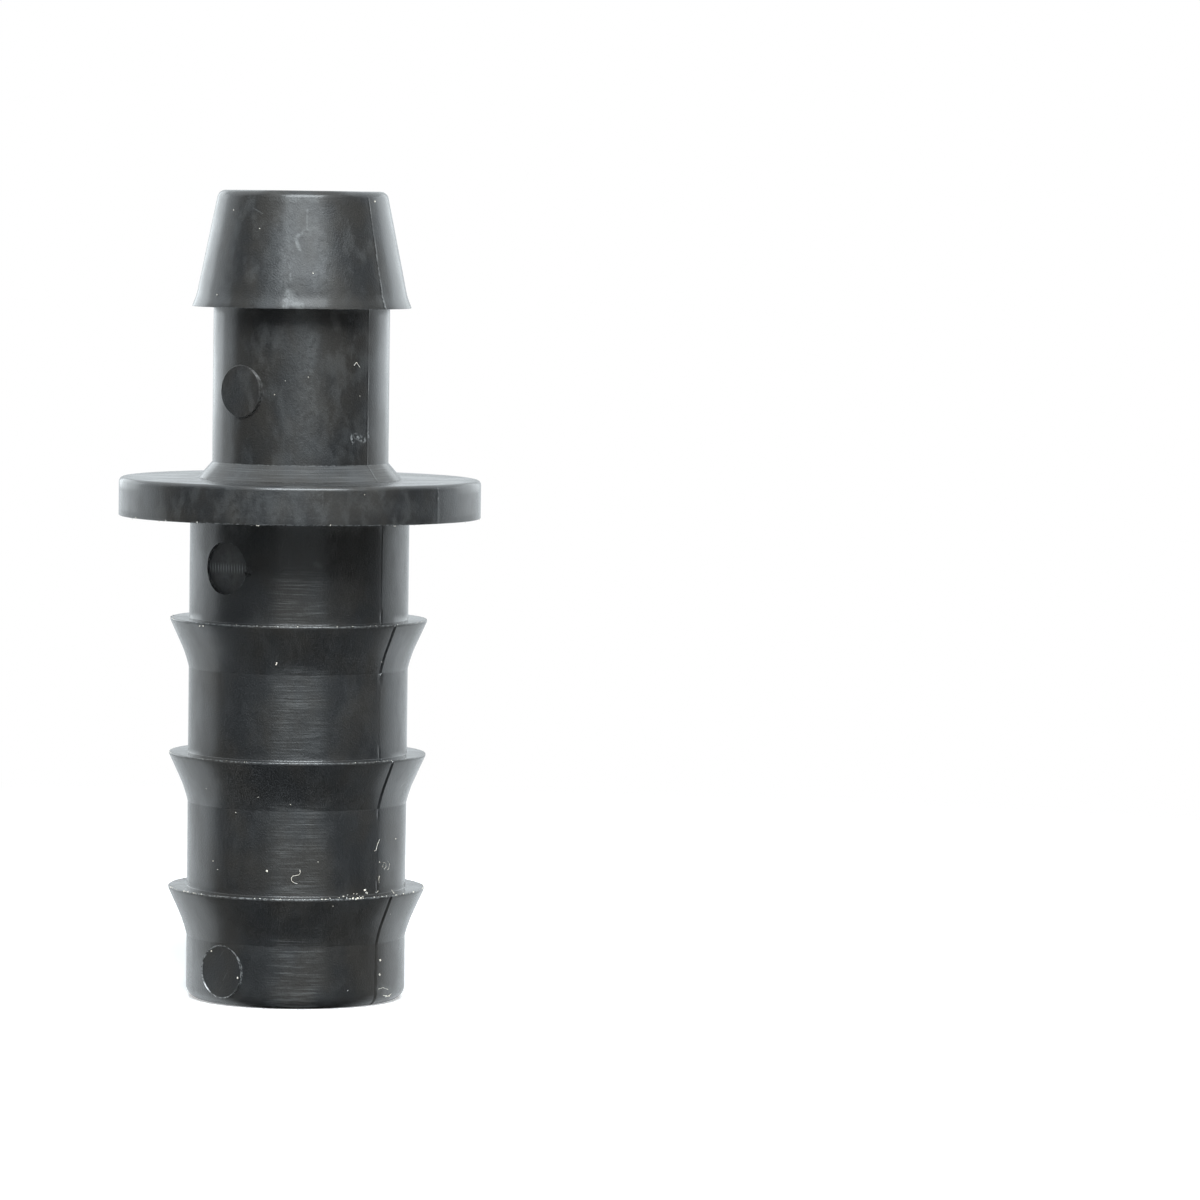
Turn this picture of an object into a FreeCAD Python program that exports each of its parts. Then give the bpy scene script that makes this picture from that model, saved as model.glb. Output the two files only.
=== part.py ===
import FreeCAD, Part
import math
import os
import Sketcher

# Barbed coupling for a soft drip tube, moulded in one piece.
# It stands on its tube end: Z is the flow axis and the origin is the middle of that end face.
# An azimuth is counted from -Y, the front, towards +X.

# Driving sizes in millimetres and degrees: alias, value, meaning.
SIZES = (
    ("barrel_od", "13.7", "outside diameter of the tube spigot"),
    ("barrel_wall", "1.45", "wall of the tube spigot"),
    ("end_rounding", "0.8", "outer rounding of the tube spigot's end"),
    ("lead_length", "3.4", "plain stretch between the end and the first barb"),
    ("barb_count", "3", "barbs on the tube spigot"),
    ("barb_pitch", "8.4", "distance from barb to barb"),
    ("barb_rise", "1.17", "height of a barb's edge over the barrel"),
    ("barb_angle", "24.5", "slope of a barb's side against the flow axis"),
    ("barb_blend", "4.2", "concave radius between the barrel and a barb's side"),
    ("barb_land", "0.15", "height of a barb's blunt edge"),
    ("neck_length", "6.35", "plain stretch between the last barb and the flange"),
    ("flange_od", "22.6", "outside diameter of the flange"),
    ("flange_thickness", "2.4", "thickness of the flange"),
    ("flange_rounding", "0.3", "rounding of the flange's upper rim"),
    ("foot_length", "1.0", "length of the cone at the foot of the stem"),
    ("foot_rise", "0.87", "radial growth of that cone over the stem"),
    ("stem_od", "11.0", "outside diameter of the stem"),
    ("stem_wall", "1.5", "wall of the stem"),
    ("stem_length", "10.65", "distance from the flange to the cone barb"),
    ("tip_length", "7.25", "length of the cone barb"),
    ("tip_rise", "1.35", "height of the cone barb's edge over the stem"),
    ("nose_od", "10.5", "diameter of the cone barb at its nose, before rounding"),
    ("nose_rounding", "0.5", "rounding of the nose"),
    ("skirt_length", "1.55", "length of the flared skirt of the cone barb"),
    ("skirt_rise", "0.45", "radial growth of that skirt"),
    ("throat_length", "2.2", "length of the cone between the two bores"),
    ("mouth_rounding", "0.2", "rounding of both bore mouths"),
    ("mark_od", "3.25", "diameter of the three round pin marks"),
    ("mark_azimuth", "-39.5", "direction that the pin marks face"),
    ("mark_root", "1.0", "depth of a raised mark's root under its face"),
    ("end_mark_height", "2.15", "height of the lowest mark's centre over the end"),
    ("end_mark_sink", "0.05", "depth of the lowest mark's face under the barrel's crest"),
    ("neck_mark_drop", "3.0", "distance of the middle mark's centre below the flange"),
    ("neck_mark_depth", "0.35", "depth of the middle mark's sunk face"),
    ("stem_mark_height", "5.5", "height of the upper mark's centre over the flange"),
    ("stem_mark_rise", "0.1", "height of the upper mark's face over the stem"),
)

doc = FreeCAD.newDocument("drip_tube_coupling")

sheet = doc.addObject("Spreadsheet::Sheet", "sizes")
for row, (alias, value, meaning) in enumerate(SIZES, start=1):
    sheet.set(f"A{row}", meaning)
    sheet.set(f"B{row}", value)
    sheet.setAlias(f"B{row}", alias)
doc.recompute()

# Radii, and heights along the flow axis, as expressions on the sheet.
AXIS = "0"
END = "0"
BARREL_R = "sizes.barrel_od / 2"
BARREL_BORE_R = "(sizes.barrel_od / 2 - sizes.barrel_wall)"
MID_WALL_R = "(sizes.barrel_od / 2 - sizes.barrel_wall / 2)"
BARB_R = "(sizes.barrel_od / 2 + sizes.barb_rise)"
BLEND_RISE = "sizes.barb_blend * (1 - cos(sizes.barb_angle))"
BLEND_TOP = "(sizes.lead_length + sizes.barb_blend * sin(sizes.barb_angle))"
SLOPE_TOP = f"({BLEND_TOP} + (sizes.barb_rise - {BLEND_RISE}) / tan(sizes.barb_angle))"
FIRST_EDGE = f"({SLOPE_TOP} + sizes.barb_land)"
LAST_EDGE = f"({FIRST_EDGE} + sizes.barb_pitch * (sizes.barb_count - 1))"
FLANGE_R = "sizes.flange_od / 2"
FLANGE_BOTTOM = f"({LAST_EDGE} + sizes.neck_length)"
FLANGE_TOP = f"({FLANGE_BOTTOM} + sizes.flange_thickness)"
STEM_R = "sizes.stem_od / 2"
STEM_BORE_R = "(sizes.stem_od / 2 - sizes.stem_wall)"
FOOT_R = "(sizes.stem_od / 2 + sizes.foot_rise)"
FOOT_TOP = f"({FLANGE_TOP} + sizes.foot_length)"
TIP_BOTTOM = f"({FLANGE_TOP} + sizes.stem_length)"
TIP_R = "(sizes.stem_od / 2 + sizes.tip_rise)"
SKIRT_R = "(sizes.stem_od / 2 + sizes.tip_rise - sizes.skirt_rise)"
SKIRT_TOP = f"({TIP_BOTTOM} + sizes.skirt_length)"
NOSE_R = "sizes.nose_od / 2"
TOP = f"({TIP_BOTTOM} + sizes.tip_length)"
THROAT_BOTTOM = f"({FLANGE_TOP} - sizes.throat_length)"

# How near a point or an edge lies to its place when it counts as being there.
REACH = 1e-4

body = doc.addObject("PartDesign::Body", "coupling_body")
body.Label = "coupling_body"


def number(expression):
    """The present value of an expression on the sheet."""
    value = sheet.evalExpression(expression)
    return float(getattr(value, "Value", value))


def origin_feature(role):
    """One of the body's own origin planes or axes."""
    return next(feature for feature in body.Origin.OriginFeatures if feature.Role == role)


def new_sketch(name):
    """A sketch in the plane through the flow axis: its x is a radius and its y a height."""
    sketch = body.newObject("Sketcher::SketchObject", name)
    sketch.AttachmentSupport = [(origin_feature("XZ_Plane"), "")]
    sketch.MapMode = "FlatFace"
    return sketch


def bind(sketch, kind, place, expression):
    """A constraint whose value follows the sheet."""
    index = sketch.addConstraint(Sketcher.Constraint(kind, *place, number(expression)))
    sketch.setExpression(f"Constraints[{index}]", expression)


def locate(sketch, geometry, position, radius, height):
    """Ties one point of a sketch to its radius and height."""
    if radius == AXIS:
        sketch.addConstraint(Sketcher.Constraint("PointOnObject", geometry, position, -2))
    else:
        bind(sketch, "DistanceX", (-1, 1, geometry, position), radius)
    if height == END:
        sketch.addConstraint(Sketcher.Constraint("PointOnObject", geometry, position, -1))
    else:
        bind(sketch, "DistanceY", (-1, 1, geometry, position), height)


def arc_into(start, end, beyond):
    """The arc from start to end that runs on smoothly into the line from end to beyond."""
    chord = end - start
    onward = beyond - end
    bend = math.atan2(chord.x * onward.y - chord.y * onward.x, chord.dot(onward))
    bulge = math.tan(bend / 2) / 2
    middle = (start + end) / 2 + FreeCAD.Vector(chord.y, -chord.x, 0) * bulge
    return Part.Arc(start, middle, end)


def outline(name, points, arcs=()):
    """A closed outline through points, each a radius and a height.

    Each edge is a straight line to the next point, apart from those in arcs,
    which are arcs that run on smoothly into the edge after them.
    """
    sketch = new_sketch(name)
    spots = [FreeCAD.Vector(number(radius), number(height), 0) for radius, height in points]
    count = len(spots)
    ends = []
    for i, start in enumerate(spots):
        end, beyond = spots[(i + 1) % count], spots[(i + 2) % count]
        edge = arc_into(start, end, beyond) if i in arcs else Part.LineSegment(start, end)
        sketch.addGeometry(edge, False)
        forward = sketch.getPoint(i, 1).distanceToPoint(start) < REACH
        ends.append((1, 2) if forward else (2, 1))
    for i, (first, last) in enumerate(ends):
        following = (i + 1) % count
        joint = "Tangent" if i in arcs else "Coincident"
        sketch.addConstraint(Sketcher.Constraint(joint, i, last, following, ends[following][0]))
        locate(sketch, i, first, *points[i])
    return sketch


def settle(feature, adds):
    """Works out a feature, and stops unless it adds or removes material as it should."""
    doc.recompute()
    before = feature.BaseFeature.Shape.Volume if feature.BaseFeature else 0.0
    change = feature.Shape.Volume - before
    if (change <= 0) if adds else (change >= 0):
        raise RuntimeError(f"{feature.Label} changes the volume by {change:.4f} mm3")


def turn(kind, name, sketch):
    """Turns an outline round the flow axis, as material or as a cut."""
    feature = body.newObject(f"PartDesign::{kind}", name)
    feature.Profile = sketch
    feature.ReferenceAxis = (sketch, ["V_Axis"])
    feature.Angle = 360
    sketch.Visibility = False
    settle(feature, adds=kind == "Revolution")
    return feature


def round_rim(name, radius, height, rounding):
    """Rounds the circular edge that lies at a radius and a height."""
    before = body.Tip
    rims = [
        f"Edge{i}"
        for i, edge in enumerate(before.Shape.Edges, start=1)
        if isinstance(edge.Curve, Part.Circle)
        and abs(edge.Curve.Radius - number(radius)) < REACH
        and abs(edge.Curve.Center.z - number(height)) < REACH
    ]
    if not rims:
        raise RuntimeError(f"{name} finds no rim")
    fillet = body.newObject("PartDesign::Fillet", name)
    fillet.Base = (before, rims)
    fillet.setExpression("Radius", rounding)
    settle(fillet, adds=False)


def tube_spigot():
    """The barrel that goes into the tube, with its row of barbs and its rounded end."""
    turn("Revolution", "Barrel", outline("BarrelOutline", [
        (AXIS, END),
        (BARREL_R, END),
        (BARREL_R, FLANGE_BOTTOM),
        (AXIS, FLANGE_BOTTOM),
    ]))
    barb = turn("Revolution", "Barb", outline("BarbOutline", [
        (MID_WALL_R, "sizes.lead_length"),
        (BARREL_R, "sizes.lead_length"),
        (f"({BARREL_R} + {BLEND_RISE})", BLEND_TOP),
        (BARB_R, SLOPE_TOP),
        (BARB_R, FIRST_EDGE),
        (MID_WALL_R, FIRST_EDGE),
    ], arcs=(1,)))
    barbs = body.newObject("PartDesign::LinearPattern", "Barbs")
    barbs.Originals = [barb]
    barbs.Direction = (origin_feature("Z_Axis"), [""])
    barbs.setExpression("Length", "sizes.barb_pitch * (sizes.barb_count - 1)")
    barbs.setExpression("Occurrences", "sizes.barb_count")
    body.Tip = barbs
    settle(barbs, adds=True)
    round_rim("EndRounding", BARREL_R, END, "sizes.end_rounding")


def flange():
    """The round collar that the seal rests on."""
    turn("Revolution", "Flange", outline("FlangeOutline", [
        (AXIS, FLANGE_BOTTOM),
        (FLANGE_R, FLANGE_BOTTOM),
        (FLANGE_R, FLANGE_TOP),
        (AXIS, FLANGE_TOP),
    ]))
    round_rim("FlangeRounding", FLANGE_R, FLANGE_TOP, "sizes.flange_rounding")


def seal_spigot():
    """The stem on its coned foot, and the cone barb with its flared skirt."""
    turn("Revolution", "Stem", outline("StemOutline", [
        (AXIS, FLANGE_TOP),
        (FOOT_R, FLANGE_TOP),
        (STEM_R, FOOT_TOP),
        (STEM_R, TIP_BOTTOM),
        (AXIS, TIP_BOTTOM),
    ]))
    turn("Revolution", "ConeBarb", outline("ConeBarbOutline", [
        (AXIS, TIP_BOTTOM),
        (TIP_R, TIP_BOTTOM),
        (SKIRT_R, SKIRT_TOP),
        (NOSE_R, TOP),
        (AXIS, TOP),
    ], arcs=(1,)))
    round_rim("NoseRounding", NOSE_R, TOP, "sizes.nose_rounding")


def bores():
    """The wide bore of the barrel, the narrow one of the stem and the cone between them."""
    turn("Groove", "Bores", outline("BoreOutline", [
        (AXIS, END),
        (BARREL_BORE_R, END),
        (BARREL_BORE_R, THROAT_BOTTOM),
        (STEM_BORE_R, FLANGE_TOP),
        (STEM_BORE_R, TOP),
        (AXIS, TOP),
    ]))
    round_rim("EndMouth", BARREL_BORE_R, END, "sizes.mouth_rounding")
    round_rim("NoseMouth", STEM_BORE_R, TOP, "sizes.mouth_rounding")


def pin_mark(kind, name, face_radius, height, depth):
    """A flat round mark left by a mould pin, raised from the surface or sunk into it."""
    sketch = new_sketch(f"{name}Circle")
    upright = FreeCAD.Vector(0, 1, 0)
    sketch.AttachmentOffset.Rotation = FreeCAD.Rotation(upright, number("sizes.mark_azimuth"))
    sketch.setExpression("AttachmentOffset.Rotation.Angle", "sizes.mark_azimuth")
    sketch.setExpression("AttachmentOffset.Base.x", f"{face_radius} * sin(sizes.mark_azimuth)")
    sketch.setExpression("AttachmentOffset.Base.z", f"{face_radius} * cos(sizes.mark_azimuth)")
    centre = FreeCAD.Vector(0, number(height), 0)
    facing = FreeCAD.Vector(0, 0, 1)
    sketch.addGeometry(Part.Circle(centre, facing, number("sizes.mark_od / 2")), False)
    locate(sketch, 0, 3, AXIS, height)
    bind(sketch, "Diameter", (0,), "sizes.mark_od")
    mark = body.newObject(f"PartDesign::{kind}", name)
    mark.Profile = sketch
    mark.setExpression("Length", depth)
    mark.Reversed = kind == "Pad"
    sketch.Visibility = False
    settle(mark, adds=kind == "Pad")


def pin_marks():
    """The three marks in one line: on the end, sunk under the flange, and on the stem."""
    pin_mark(
        "Pad", "EndMark",
        face_radius=f"({BARREL_R} - sizes.end_mark_sink)",
        height="sizes.end_mark_height",
        depth="sizes.mark_root",
    )
    pin_mark(
        "Pocket", "NeckMark",
        face_radius=BARREL_R,
        height=f"({FLANGE_BOTTOM} - sizes.neck_mark_drop)",
        depth="sizes.neck_mark_depth",
    )
    pin_mark(
        "Pad", "StemMark",
        face_radius=f"({STEM_R} + sizes.stem_mark_rise)",
        height=f"({FLANGE_TOP} + sizes.stem_mark_height)",
        depth="sizes.mark_root",
    )


tube_spigot()
flange()
seal_spigot()
bores()
pin_marks()
doc.recompute()

for item in doc.Objects:
    if "Invalid" in item.State or "Error" in item.State:
        raise RuntimeError(f"{item.Label} failed: {item.State}")
if body.Shape.isNull() or not body.Shape.isValid() or len(body.Shape.Solids) != 1:
    raise RuntimeError("the coupling is not one valid solid")

os.makedirs("parts", exist_ok=True)
body.Shape.exportStep(f"parts/{body.Label}.step")
box = body.Shape.BoundBox
print(f"coupling: {box.XLength:.3f} x {box.YLength:.3f} x {box.ZLength:.3f} mm, "
      f"from z {box.ZMin:.4f}, {body.Shape.Volume:.2f} mm3")
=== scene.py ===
import math
import random
from functools import reduce

import bmesh
import bpy
from bpy.props import FloatProperty, FloatVectorProperty, IntProperty, PointerProperty
from mathutils import Matrix, Vector


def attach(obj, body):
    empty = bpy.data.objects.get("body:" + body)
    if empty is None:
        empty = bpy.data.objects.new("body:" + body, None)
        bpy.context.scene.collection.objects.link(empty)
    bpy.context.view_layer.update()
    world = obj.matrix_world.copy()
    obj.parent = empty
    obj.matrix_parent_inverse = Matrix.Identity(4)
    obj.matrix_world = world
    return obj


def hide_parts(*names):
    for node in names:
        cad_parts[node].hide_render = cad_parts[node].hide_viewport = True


bl_info = {
    "name": "Drip Tube Coupling",
    "version": (1, 0, 0),
    "blender": (4, 5, 0),
    "location": "View3D > Sidebar > Coupling",
    "description": "Dresses a moulded drip tube coupling and sets up its studio",
    "category": "Object",
}

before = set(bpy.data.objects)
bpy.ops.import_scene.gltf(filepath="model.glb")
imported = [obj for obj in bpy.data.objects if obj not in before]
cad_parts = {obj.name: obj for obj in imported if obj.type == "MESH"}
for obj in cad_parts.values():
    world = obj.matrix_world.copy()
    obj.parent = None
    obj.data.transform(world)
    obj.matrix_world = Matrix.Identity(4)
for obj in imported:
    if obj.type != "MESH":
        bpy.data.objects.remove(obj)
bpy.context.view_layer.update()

# Z is the flow axis. Azimuths are counted from -Y, the camera's side, towards +X.
MM = 0.001
BODY = "root"
SOLID = "coupling_body"
PLASTIC = "satin_moulding"
PALE = "pale_flash"


# ---------------------------------------------------------------- properties


def length(name, description, millimetres):
    """A length that the user may change, given in millimetres and kept in metres."""
    return FloatProperty(
        name=name, description=description, default=millimetres * MM,
        subtype="DISTANCE", unit="LENGTH", precision=5,
    )


def angle(name, description, degrees):
    """An angle that the user may change, given in degrees."""
    return FloatProperty(
        name=name, description=description, default=math.radians(degrees),
        subtype="ANGLE", unit="ROTATION",
    )


def share(name, description, value):
    """A share or strength that the user may change."""
    return FloatProperty(name=name, description=description, default=value, min=0.0)


def power(name, description, watts):
    """The power of a lamp, which the user may change, given in watts."""
    return FloatProperty(name=name, description=description, default=watts, unit="POWER")


def colour(name, description, value):
    """A colour that the user may change."""
    return FloatVectorProperty(
        name=name, description=description, default=value,
        subtype="COLOR", size=3, min=0.0, max=1.0,
    )


class CouplingSizes(bpy.types.PropertyGroup):
    """Sizes of the turned form."""

    barrel: length("Barrel", "Outside diameter of the tube spigot", 13.7)
    barrel_wall: length("Barrel wall", "Wall of the tube spigot", 1.45)
    end_round: length("End rounding", "Outer rounding of the tube spigot's end", 0.8)
    lead: length("Lead", "Plain stretch between the end and the first barb", 3.4)
    barbs: IntProperty(name="Barbs", description="Barbs on the tube spigot", default=3, min=1)
    pitch: length("Barb pitch", "Distance from barb to barb", 8.4)
    barb_rise: length("Barb rise", "Height of a barb's edge over the barrel", 1.17)
    barb_slope: angle("Barb slope", "Slope of a barb's side against the flow axis", 24.5)
    barb_blend: length("Barb blend", "Concave radius under a barb's side", 4.2)
    crease: length("Crease", "Height of the crease under a barb over the plain stretch", 0.53)
    crease_slope: angle("Crease slope", "Slope of a barb's side at that crease", 12.0)
    barb_land: length("Barb land", "Height of a barb's blunt edge", 0.15)
    neck: length("Neck", "Plain stretch between the last barb and the flange", 6.35)
    flange: length("Flange", "Outside diameter of the flange", 22.6)
    flange_height: length("Flange thickness", "Thickness of the flange", 2.4)
    flange_round: length("Flange rounding", "Rounding of the flange's upper rim", 0.3)
    foot_height: length("Foot height", "Length of the cone at the foot of the stem", 1.0)
    foot_rise: length("Foot rise", "Radial growth of that cone", 0.87)
    stem: length("Stem", "Outside diameter of the stem", 11.0)
    stem_wall: length("Stem wall", "Wall of the stem", 1.5)
    stem_height: length("Stem height", "Distance from the flange to the cone barb", 10.65)
    tip_height: length("Tip height", "Length of the cone barb", 7.25)
    tip_rise: length("Tip rise", "Height of the cone barb's edge over the stem", 1.35)
    nose: length("Nose", "Diameter of the cone barb at its nose", 10.5)
    nose_round: length("Nose rounding", "Rounding of the nose", 0.5)
    skirt_height: length("Skirt height", "Length of the flared skirt of the cone barb", 1.55)
    skirt_rise: length("Skirt rise", "Radial growth of that skirt", 0.45)
    throat: length("Throat", "Length of the cone between the two bores", 2.2)
    mouth_round: length("Mouth rounding", "Rounding of both bore mouths", 0.2)
    edge_round: length("Edge rounding", "Wear on the sharp edges of the moulding", 0.05)
    corner_round: length("Corner fillet", "Fillet in the inner corners of the moulding", 0.03)


class MouldTraces(bpy.types.PropertyGroup):
    """Marks that the mould leaves on the part."""

    seam_side: angle("Parting line", "Direction of the parting line at the end face", 49.5)
    seam_drift: FloatProperty(
        name="Parting line drift",
        description="Turn of the parting line, in degrees per millimetre of height", default=0.047,
    )
    groove_width: length("Groove width", "Width of the parting line on the barbs and the end", 0.24)
    groove_depth: length("Groove depth", "Depth of the parting line on the barbs and the end", 0.17)
    line_width: length("Line width", "Width of the parting line between the barbs", 0.1)
    line_depth: length("Line depth", "Depth of the parting line between the barbs", 0.05)
    ridge_width: length("Ridge width", "Width of the parting line from the flange up", 0.1)
    ridge_height: length("Ridge height", "Height of the parting line from the flange up", 0.022)
    mark: length("Pin mark", "Diameter of the round pin marks", 3.25)
    mark_side: angle("Pin mark side", "Direction that the pin marks face", -39.7)
    end_mark_height: length("End mark height", "Height of the lowest mark over the end", 2.15)
    end_mark_sink: length("End mark sink", "Depth of that mark's face under the barrel", 0.05)
    neck_mark_drop: length("Neck mark drop", "Distance of the sunk mark below the flange", 3.0)
    neck_mark_depth: length("Neck mark depth", "Depth of the sunk mark", 0.29)
    unevenness: length("Unevenness", "Height of the shallow waves in the moulded surface", 0.012)
    wave: length("Wave", "Size of those waves", 2.0)
    flash: length("Flash", "Height of the thin flash round the end mark", 0.06)
    stem_mark_height: length("Stem mark height", "Height of the upper mark over the flange", 5.5)
    stem_mark_rise: length("Stem mark rise", "Height of the upper mark's face over the stem", 0.1)


class PlasticFinish(bpy.types.PropertyGroup):
    """Colours and gloss of the moulded plastic."""

    base: colour("Plastic", "Colour of the black plastic", (0.0083, 0.0090, 0.0100))
    warm: colour("Warm plastic", "Colour of browner plastic", (0.0122, 0.0101, 0.0078))
    # Scuffs, haze, tool lines and the painted highlights all whiten towards this colour.
    scuff: colour("Scuff", "Colour of scuffed and stressed plastic", (0.30, 0.31, 0.31))
    torn: colour("Torn plastic", "Colour of torn flash", (0.68, 0.62, 0.52))
    gloss: share("Roughness", "Roughness of the plastic's skin", 0.57)
    skin_gloss: share("Skin roughness", "Roughness of the shine on top", 0.20)
    # The tool lines whiten the plastic only in its front, where the highlight falls: partly painted
    # highlight.
    line_sheen_tone: share("Line tone", "How much the tool lines whiten the plastic", 0.13)
    haze: share("Haze", "How much the cloudy haze whitens the plastic", 0.047)
    wear: share("Wear", "Strength of the wear along sharp rims", 0.5)
    grain_depth: length("Grain depth", "Depth of the fine grain", 0.009)


class StudioSetup(bpy.types.PropertyGroup):
    """Camera, floor and light."""

    camera_place: FloatVectorProperty(
        name="Camera place", description="Where the camera stands",
        default=(0.018470, -0.4, 0.051325), subtype="TRANSLATION", unit="LENGTH", precision=5,
    )
    camera_pitch: angle("Camera pitch", "How far the camera looks down", 3.739)
    camera_roll: angle("Camera roll", "How far the camera is rolled about its view", 0.757)
    lens: FloatProperty(name="Lens", description="Focal length in millimetres", default=192.36)
    sensor: FloatProperty(name="Sensor", description="Sensor width in millimetres", default=36.0)
    floor_tone: share("Floor tone", "Reflectance of the pale floor", 0.85)
    # In reflections only, the floor is painted dimmer, darkest in front: painted shade.
    floor_back: share("Floor behind", "Reflectance of the floor behind, in reflections", 0.52)
    floor_front: share("Floor in front", "Reflectance of the floor in front, in reflections", 0.04)
    floor_fill: share("Floor fill", "Light of its own that the floor adds to whiten it", 0.45)
    floor_fade: length("Floor fade", "Distance at which the floor is all white backdrop", 140.0)
    # The lit patch glows in reflections only, from emission and not a lamp: a painted reflection.
    patch: share("Lit patch", "Brightness of the lit patch of floor in reflections", 0.24)
    patch_side: angle("Patch side", "Azimuth of that patch", 4.7)
    room_front: share("Room in front", "Brightness of the room's front in reflections", 0.056)
    room_level: share("Room level", "Brightness of the room as plain light", 0.1)
    room_turn: angle("Backdrop turn", "Azimuth of the white backdrop", 184.0)
    room_tilt: angle("Backdrop tilt", "How far the white backdrop rises over the part", 14.0)
    cool: colour("Cool light", "Tint of the lamps and of all reflections", (0.90, 0.965, 1.0))
    key_power: power("Key power", "Power of the key light", 9.3)
    front_power: power("Front power", "Power of the front light", 0.6)
    left_power: power("Left rim power", "Power of the left rim light", 1.2)
    right_power: power("Right rim power", "Power of the right rim light", 0.9)


# ------------------------------------------------------------ modelling tools

WELD = 0.0005 * MM
CUT_WELD = 0.001 * MM
SMOOTH_BELOW = math.radians(35)


def settings(name):
    """One of the groups of properties on the scene."""
    return getattr(bpy.context.scene, name)


def select_only(piece):
    """Makes a piece the only selected object and the active one."""
    bpy.ops.object.select_all(action="DESELECT")
    bpy.context.view_layer.objects.active = piece
    piece.select_set(True)


def open_mesh(piece):
    """Opens a piece in edit mode with nothing selected."""
    select_only(piece)
    bpy.ops.object.mode_set(mode="EDIT")
    bpy.ops.mesh.select_mode(type="VERT")
    bpy.ops.mesh.select_all(action="DESELECT")


def close_mesh():
    """Leaves edit mode."""
    bpy.ops.object.mode_set(mode="OBJECT")


def pick(piece, kind, test):
    """Selects only the vertices, edges or faces that pass a test, and counts them."""
    bpy.ops.mesh.select_mode(type={"verts": "VERT", "edges": "EDGE", "faces": "FACE"}[kind])
    bpy.ops.mesh.select_all(action="DESELECT")
    mesh = bmesh.from_edit_mesh(piece.data)
    chosen = [part for part in getattr(mesh, kind) if test(part)]
    for part in chosen:
        part.select_set(True)
    bmesh.update_edit_mesh(piece.data)
    return len(chosen)


def weld(reach):
    """Merges the vertices of the open mesh that lie within a reach of each other."""
    bpy.ops.mesh.select_all(action="SELECT")
    bpy.ops.mesh.remove_doubles(threshold=reach)


def draw_wire(places):
    """Extrudes a wire from place to place, and leaves it open in edit mode."""
    bpy.ops.object.select_all(action="DESELECT")
    bpy.ops.mesh.primitive_plane_add(size=MM)
    wire = bpy.context.object
    bpy.ops.object.mode_set(mode="EDIT")
    bpy.ops.mesh.select_mode(type="VERT")
    bpy.ops.mesh.select_all(action="SELECT")
    bpy.ops.mesh.merge(type="CENTER")
    bpy.ops.transform.translate(value=places[0])
    for before, place in zip(places, places[1:]):
        bpy.ops.mesh.extrude_vertices_move(TRANSFORM_OT_translate={"value": place - before})
    return wire


def place_copy(model, place, turn, scale):
    """Adds a copy of an object with its own place, turn and scale."""
    copy = model.copy()
    copy.data = model.data.copy()
    bpy.context.scene.collection.objects.link(copy)
    copy.location = place
    copy.rotation_euler = turn
    copy.scale = scale
    return copy


def join_objects(parts):
    """Joins some objects into the first of them."""
    bpy.ops.object.select_all(action="DESELECT")
    for part in parts:
        part.select_set(True)
    bpy.context.view_layer.objects.active = parts[0]
    bpy.ops.object.join()
    return bpy.context.object


def finish_piece(piece, name):
    """Names a piece, puts its place into its mesh, and lets it ride on the coupling."""
    piece.name = name
    piece.data.name = name
    select_only(piece)
    bpy.ops.object.transform_apply(location=True, rotation=True, scale=True)
    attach(piece, BODY)


def bearing(side):
    """The level direction with that azimuth."""
    return Vector((math.sin(side), -math.cos(side), 0.0))


def at_side(side, distance, height):
    """The place at an azimuth, a distance off the flow axis and a height."""
    return bearing(side) * distance + Vector((0.0, 0.0, height))


def spot(side, height, distance):
    """A place by azimuth in degrees, and by height and distance off the axis in millimetres."""
    return bearing(math.radians(side)) * distance * MM + Vector((0.0, 0.0, height * MM))


def azimuth(place):
    """The azimuth of a place."""
    return math.atan2(place.x, -place.y)


def radius(place):
    """The distance of a place from the flow axis."""
    return math.hypot(place.x, place.y)


def turned_by(first, second):
    """The smallest turn from one azimuth to another, without its sign."""
    return abs((first - second + math.pi) % (2 * math.pi) - math.pi)


# ------------------------------------------------------------------- outline

# The share of the room above a barb's crease that its blend fills, and the radius of the skirt's
# bend in skirt heights.
BLEND_SHARE = 0.98
SKIRT_BEND = 1.9


class Corner:
    """A corner of the turned outline, with the radius and the steps that round it."""

    def __init__(self, radius, height, rounding=0.0, segments=3):
        self.radius = radius
        self.height = height
        self.rounding = rounding
        self.segments = segments

    def flat(self):
        """The corner as a vector in the outline's plane."""
        return Vector((self.radius, self.height))


def key_heights(size):
    """Heights along the flow axis where the form changes."""
    slope = size.barb_slope
    blend_rise = size.barb_blend * (1 - math.cos(slope))
    blend_top = size.lead + size.barb_blend * math.sin(slope)
    slope_top = blend_top + (size.barb_rise - blend_rise) / math.tan(slope)
    edges = [slope_top + size.barb_land + size.pitch * i for i in range(size.barbs)]
    under = edges[-1] + size.neck
    seat = under + size.flange_height
    tip = seat + size.stem_height
    return {"edges": edges, "under": under, "seat": seat, "tip": tip, "top": tip + size.tip_height}


def crease_height(size, number):
    """The height of the crease under a barb, counted from the end up."""
    return size.lead + size.crease + size.pitch * number


def skirt_corner(size, at):
    """Where the cone barb's side, drawn on, meets the tangent of its skirt's edge."""
    edge = Vector((size.stem / 2 + size.tip_rise, at["tip"]))
    neck = edge + Vector((-size.skirt_rise, size.skirt_height))
    side = (neck - Vector((size.nose / 2, at["top"]))).normalized()
    step = neck - edge
    reach = -step.length_squared / (2 * step.dot(side))
    return neck + side * reach


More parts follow.
